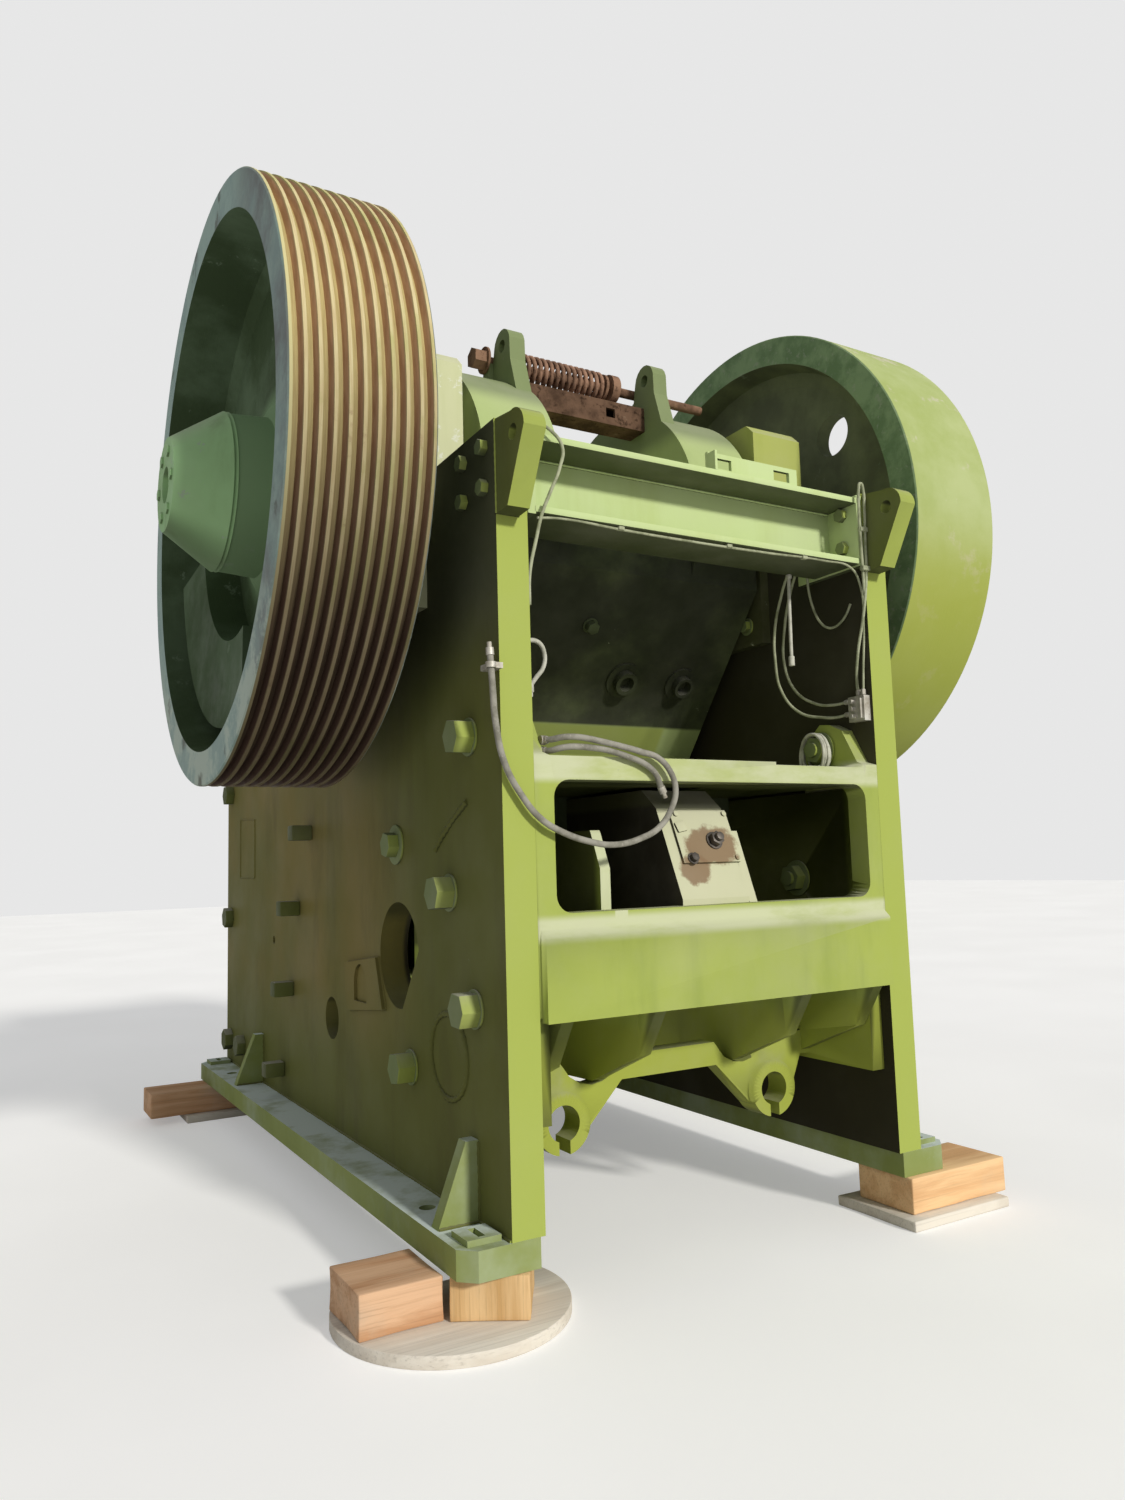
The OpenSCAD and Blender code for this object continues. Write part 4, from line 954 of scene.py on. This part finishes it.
class CRUSHER_OT_window_frame(bpy.types.Operator):
    """Show the window frame with its one short sill rib, as in the photograph"""

    bl_idname = "crusher.window_frame"
    bl_label = "Window frame"

    def execute(self, context):
        wall = bpy.data.objects.new("window_frame", NODES["rear_frame"].data.copy())
        context.scene.collection.objects.link(wall)
        edit_whole(wall, lambda: bpy.ops.mesh.remove_doubles(threshold=0.00001))
        cutter = joined("cutter", [block(*on_side(side, (RIB_IN, RIB_REAR, low), (RIB_OUT, 301, RIB_TOP)), 0)
                                   for side, low in RIB_CUTS])
        cut = wall.modifiers.new("ribs", "BOOLEAN")
        cut.operation = "DIFFERENCE"
        cut.solver = "EXACT"
        cut.object = cutter
        apply_modifiers(wall)
        bpy.data.objects.remove(cutter)
        dress(smooth(wall, 30), "frame_paint")
        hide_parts("rear_frame")
        return {"FINISHED"}


class CRUSHER_OT_beam(bpy.types.Operator):
    """Build the rear beam with its shallow web, two flanges and bolted end plates"""

    bl_idname = "crusher.beam"
    bl_label = "Rear beam"

    def execute(self, context):
        parts = [block((-BEAM_HALF, -4, low), (BEAM_HALF, 190, low + BEAM_SHEET), 0.0025)
                 for low in FLANGE_LOWS]
        parts.append(block((-BEAM_HALF, WEB_REAR, 1806), (BEAM_HALF, WEB_REAR + BEAM_SHEET, 1993), 0.0015))
        for s in (-1, 1):
            parts.append(block(*on_side(s, (556, -4, 1790), (PLATE_IN, 264, 2012)), 0.0025))
        for z in (1983, 1816):
            parts.append(bead([(-555, WEB_REAR - 1.5, z), (555, WEB_REAR - 1.5, z)], 4))
        dress(smooth(joined("beam_welded", parts)), "beam_paint")
        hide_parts("rear_beam")
        return {"FINISHED"}


# Bolts

# Bolt centres on the side plates and the housings, as (y, z), and the turn of each frame nut
FRAME_BOLTS = [(177, 1247), (313, 855), (172, 572), (595, 371), (692, 990)]
SMALL_BOLT = FRAME_BOLTS[4]
FRAME_TURNS = (0.12, -0.1, 0.05, -0.16, 0.22)
BEAM_BOLTS = [(178, 1962), (56, 1962), (56, 1858), (178, 1858)]
CHEEK_BOLTS = [(1555, 1058), (1711, 784), (1793, 483), (1919, 170)]
FRONT_BOLTS = [(2790, 1279), (2790, 716), (2790, 170), (2560, 171), (2560, 1500), (2790, 1780)]
HOUSING_BOLTS = [(512, 1709), (560, 1990), (1142, 1990), (1190, 1709)]
WASHER = 6


def hexagon(x0, x1, y, z, across, side, turn=0.0):
    """A nut with its outer corners cut to a cone, between two distances from the centre plane."""
    corner = across / 2 / math.cos(math.pi / 6)
    nut = disc((side * (x0 + x1) / 2, y, z), corner, x1 - x0, "X", 6, 0.0016, turn)
    outer = side * x1 / 1000
    centre = row(0, y, z)
    flat = across / 2000
    for v in nut.data.vertices:
        off = Vector((0, v.co.y - centre.y, v.co.z - centre.z))
        if abs(v.co.x - outer) < 0.0025 and off.length > flat:
            v.co.x -= side * (off.length - flat) * 0.6
    return nut


def washer_and_nut(start, y, z, side, size, turn, stud=0):
    """Washer, nut and stud end on a face at start; size is nut width, nut height and washer radius."""
    across, high, washer = size
    face = start + WASHER
    parts = [disc((side * (start + WASHER / 2 + 0.3), y, z), washer, WASHER, "X", 40, 0.0015),
             hexagon(face, face + high, y, z, across, side, turn)]
    if stud:
        parts.append(disc((side * (face + high), y, z), stud, 16, "X", 24, 0.002))
    return parts


class CRUSHER_OT_bolts(bpy.types.Operator):
    """Washers, nuts and square heads on both side plates"""

    bl_idname = "crusher.bolts"
    bl_label = "Frame bolts"

    def execute(self, context):
        across = settings().nut_size * 1000
        for name, side in (("left", -1), ("right", 1)):
            parts = []
            for i, (y, z) in enumerate(FRAME_BOLTS):
                size = (66, 34, 58) if (y, z) == SMALL_BOLT else (across, 52, 49)
                parts += washer_and_nut(PLATE_OUT, y, z, side, size, FRAME_TURNS[i])
                parts.append(disc((side * 590, y, z), 24, 150, "X", 24, 0))
                if z > 700 and y < 600:
                    parts += washer_and_nut(-NUT_SEAT, y, z, -side, (74, 34, 56), 0.2 + 0.7 * i, 23)
            for i, (y, z) in enumerate(BEAM_BOLTS):
                parts += [hexagon(HEAD_FACE, 688, y, z, 38, side, 0.4 * i),
                          disc((side * 612, y, z), 12, 120, "X", 20, 0)]
                if y < 100:
                    parts.append(hexagon(-556, -537, y, z, 38, -side, 0.5 * i))
            for y, z in CHEEK_BOLTS:
                head = on_side(side, (HEAD_FACE, y - 30, z - 27), (742, y + 30, z + 27))
                parts += [block(*head, 0.005), disc((side * 610, y, z), 18, 120, "X", 20, 0)]
            for i, (y, z) in enumerate(FRONT_BOLTS):
                parts += [hexagon(HEAD_FACE, 705, y, z, across, side, 0.25 * i),
                          disc((side * 600, y, z), 24, 140, "X", 20, 0)]
            whole = smooth(joined("bolts_" + name, parts))
            dress(whole, "nut_paint")
            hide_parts("frame_bolts_" + name)
        return {"FINISHED"}


# Timbers

# Heights in drawing millimetres: underside of the baulks, top and underside of the boards
BAULK_LOW = -100
BOARD_TOP = -100.3
BOARD_LOW = -130


def sawn(name, lo, hi, finish, seed):
    """A sawn timber between two drawing corners, worn at its edges and uneven on its faces."""
    obj = block(lo, hi, 0.004)
    edit_whole(obj, lambda: bpy.ops.mesh.subdivide(number_cuts=6))
    middle = (row(*lo) + row(*hi)) / 2
    for v in obj.data.vertices:
        wave = math.sin(v.co.x * 31 + seed) * math.sin(v.co.y * 27 + 2 * seed) * math.sin(v.co.z * 43 + seed)
        v.co += (middle - v.co).normalized() * (0.0018 + 0.0018 * wave)
    obj.name = name
    dress(obj, finish)
    return smooth(obj, 50)


class CRUSHER_OT_timbers(bpy.types.Operator):
    """Sawn baulks and boards under the four ends of the feet"""

    bl_idname = "crusher.timbers"
    bl_label = "Packing timbers"

    def execute(self, context):
        first = sawn("baulk_rear_left", (-1000, 90, BAULK_LOW), (-797, 300, 0), "wood_salmon", 1.0)
        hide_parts("packing_timbers")
        askew = sawn("baulk_askew", (-792, 76, BAULK_LOW), (-607, 276, 0), "wood_yellow", 2.1)
        pivot = Matrix.Translation(row(-792, 76, 0))
        askew.data.transform(pivot @ Matrix.Rotation(math.radians(-31), 4, "Z") @ pivot.inverted())
        self.round_board()
        sawn("baulk_rear_right", (600, -20, BAULK_LOW), (1000, 190, 0), "wood_peach", 3.3)
        sawn("board_rear_right", (560, -60, BOARD_LOW), (960, 240, BOARD_TOP), "wood_grey", 0.4)
        for side, word in ((-1, "left"), (1, "right")):
            baulk = on_side(side, (600, 2600, BAULK_LOW), (1040, 2800, 0))
            sawn("baulk_front_" + word, *baulk, "wood_salmon", 5.0 + side)
            board = on_side(side, (620, 2560, BOARD_LOW), (900, 2850, BOARD_TOP))
            sawn("board_front_" + word, *board, "wood_grey", 7.0 + side)
        return {"FINISHED"}

    def round_board(self):
        """Round board under the rear left foot, cut straight towards the front."""
        board = disc((-735, 190, -115.2), 285, 29.6, "Z", 72, 0.003)
        cut = {"plane_co": row(0, 310, 0), "plane_no": (0, 1, 0), "use_fill": True, "clear_outer": True}
        edit_whole(board, lambda: bpy.ops.mesh.bisect(**cut))
        board.name = "board_round"
        smooth(dress(board, "wood_grey"), 40)


# Spring

# Stored rod's place, and the spring's ends, middle radius, wire radius, turns and steps a turn
ROD_Y = 734
ROD_Z = 2570
SPRING_START = -237.2
SPRING_END = 115.2
SPRING_R = 43
SPRING_WIRE = 7.5
SPRING_TURNS = 16
SPRING_STEPS = 20


class CRUSHER_OT_spring(bpy.types.Operator):
    """The smooth coil spring on the stored rod"""

    bl_idname = "crusher.spring"
    bl_label = "Rod spring"

    def execute(self, context):
        count = SPRING_TURNS * SPRING_STEPS
        route = []
        for i in range(count + 1):
            a = math.radians(360 * i / SPRING_STEPS)
            x = SPRING_START + (SPRING_END - SPRING_START) * i / count
            route.append((x, ROD_Y + SPRING_R * math.cos(a), ROD_Z + SPRING_R * math.sin(a)))
        coil = dress(line_curve("spring_coil", route, SPRING_WIRE, kind="POLY"), "rust_pale", "pitman_body")
        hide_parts("rod_spring")
        return {"FINISHED"}


# Welds

# Weld runs on the side plates, as (y, z) in drawing millimetres
PAD_RING = [(790, 508), (1120, 474), (1135, 622), (846, 656), (790, 508)]
WELD_OVAL = [(335 + 114 * math.cos(k * math.pi / 12), 436 + 108 * math.sin(k * math.pi / 12))
             for k in range(25)]
WELD_ARC = [(198, 1084), (240, 1064), (293, 1038), (359, 999), (401, 968)]
WELD_STRIP = [(2620, 1158), (2363, 1145), (2360, 897), (2620, 897), (2620, 1158)]


def bead(points, radius):
    """A rippled weld bead along drawing points in millimetres, as a mesh."""
    line = [Vector(p) for p in points]
    fine = []
    for a, b in zip(line, line[1:]):
        n = max(2, int((b - a).length / 7))
        fine += [a.lerp(b, i / n) for i in range(n)]
    fine.append(line[-1])
    run = line_curve("bead", fine, radius, kind="POLY")
    run.data.bevel_resolution = 1
    for i, knot in enumerate(run.data.splines[0].points):
        knot.radius = 1.0 + 0.16 * math.sin(i * 2.1) + 0.1 * math.sin(i * 0.37)
    return meshed(run)


class CRUSHER_OT_welds(bpy.types.Operator):
    """Weld beads at the feet, gussets, lugs and pads"""

    bl_idname = "crusher.welds"
    bl_label = "Weld beads"

    def execute(self, context):
        for word, s in (("left", -1), ("right", 1)):
            face = s * WELD_FACE
            beads = [bead([(face, 4, 70), (face, 2866, 70)], 5)]
            for y in (190, 2230):
                for dy in (-20, 20):
                    corner = [(face, y + dy, 258), (face, y + dy, 71), (s * 774, y + dy, 70)]
                    beads.append(bead(corner, 4.5))
            for x in ((-667, -607) if s < 0 else (580, 640)):
                beads.append(bead([(x, -1, 1776), (x, -1, 2014)], 4.5))
            for run, radius in ((PAD_RING, 5), (WELD_OVAL, 8), (WELD_ARC, 9), (WELD_STRIP, 4)):
                beads.append(bead([(face, y, z) for y, z in run], radius))
            dress(smooth(joined("weld_beads_" + word, beads), 60), "plate_paint")
        return {"FINISHED"}


# Small fittings

# Slope of the jaw's rear wall, and the lower and upper end of the adjusting box's face, as (y, z)
WALL_SLOPE = math.atan2(1290 - 1747, 835 - 475)
COVER_LOW = Vector((44, 818))
COVER_HIGH = Vector((152, 1066))


class CRUSHER_OT_fittings(bpy.types.Operator):
    """Bolt on the jaw's rear wall, bolts on the housings and the adjusting box's cover"""

    bl_idname = "crusher.fittings"
    bl_label = "Small fittings"

    def execute(self, context):
        self.wall_bolt()
        self.housing_bolts()
        self.cover()
        return {"FINISHED"}

    def wall_bolt(self):
        """Bolt head with its washer, square to the sloping wall."""
        normal = Vector((0, math.sin(WALL_SLOPE), -math.cos(WALL_SLOPE)))
        turn = Vector((0, 0, 1)).rotation_difference(normal).to_matrix().to_4x4()
        whole = joined("jaw_wall_bolt", stack(((40, 0.026, 0.0, 0.005), (6, 0.022, 0.005, 0.028))))
        whole.data.transform(Matrix.Translation(row(-72, 538.6, 1666.3)) @ turn)
        dress(smooth(whole), "inside_paint", "pitman_body")

    def housing_bolts(self):
        """Nuts and washers inside the bearing housings' flanges."""
        parts = []
        for s in (-1, 1):
            for y, z in HOUSING_BOLTS:
                parts += [disc((s * 545, y, z), 30, WASHER, "X", 40, 0.0015),
                          hexagon(-542, -524, y, z, 41, -s, 0.2 * z)]
        dress(smooth(joined("housing_bolts", parts)), "nut_paint")

    def cover(self):
        """Raised cover with its rusted nut, corner screws and clamp plate on the sloping face."""
        along = (COVER_HIGH - COVER_LOW).normalized()
        slope = Matrix(((1, 0, 0), (0, along.x, -along.y), (0, along.y, along.x))).to_4x4()

        def place(obj, x, up, turn=0.0):
            spot = COVER_LOW + along * up
            lie = Matrix.Translation(row(x, spot.x, spot.y)) @ slope @ Matrix.Rotation(turn, 4, "Z")
            obj.data.transform(lie)
            return obj

        def plate(size, x, up, turn=0.0):
            clear_selection()
            bpy.ops.mesh.primitive_cube_add(size=1, location=(0, 0, size[2] / 2 - 0.001))
            raised = bpy.context.object
            raised.scale = size
            return place(bevel(settle(raised), 0.0025), x, up, turn)

        parts = [plate((0.196, 0.16, 0.01), 14, 181), plate((0.034, 0.03, 0.016), -62, 208, 0.2)]
        for x, up in ((101, 248), (102, 113), (-66, 248)):
            parts.append(place(stack(((24, 0.008, 0.008, 0.014),))[0], x, up))
        dress(smooth(joined("cover_plate", parts)), "cream_paint")
        nuts = [place(one, 38, 165) for one in stack(
            ((36, 0.026, 0.009, 0.014), (6, 0.021, 0.014, 0.032), (24, 0.012, 0.032, 0.044)))]
        nuts += [place(one, -52, 113) for one in stack(((30, 0.017, 0.009, 0.013), (6, 0.013, 0.013, 0.025)))]
        dress(smooth(joined("cover_nuts", nuts)), "dark_iron")


# Panel and registration


class CRUSHER_PT_panel(bpy.types.Panel):
    """Lists the dressing steps"""

    bl_label = "Jaw crusher"
    bl_idname = "CRUSHER_PT_panel"
    bl_space_type = "VIEW_3D"
    bl_region_type = "UI"
    bl_category = "Jaw crusher"

    def draw(self, context):
        s = context.scene.crusher_dress
        for name in DressSettings.__annotations__:
            self.layout.prop(s, name)
        for step in STEPS:
            self.layout.operator(step.bl_idname)


STEPS = (CRUSHER_OT_stage, CRUSHER_OT_hoses, CRUSHER_OT_lines, CRUSHER_OT_finishes, CRUSHER_OT_window_frame,
         CRUSHER_OT_beam, CRUSHER_OT_bolts, CRUSHER_OT_timbers, CRUSHER_OT_spring, CRUSHER_OT_welds,
         CRUSHER_OT_fittings)
CLASSES = (DressSettings, *STEPS, CRUSHER_PT_panel)


def register():
    for one in CLASSES:
        bpy.utils.register_class(one)
    bpy.types.Scene.crusher_dress = bpy.props.PointerProperty(type=DressSettings)


def unregister():
    del bpy.types.Scene.crusher_dress
    for one in reversed(CLASSES):
        bpy.utils.unregister_class(one)


def main():
    register()
    for step in STEPS:
        group, name = step.bl_idname.split(".")
        getattr(getattr(bpy.ops, group), name)()


if __name__ == "__main__":
    main()
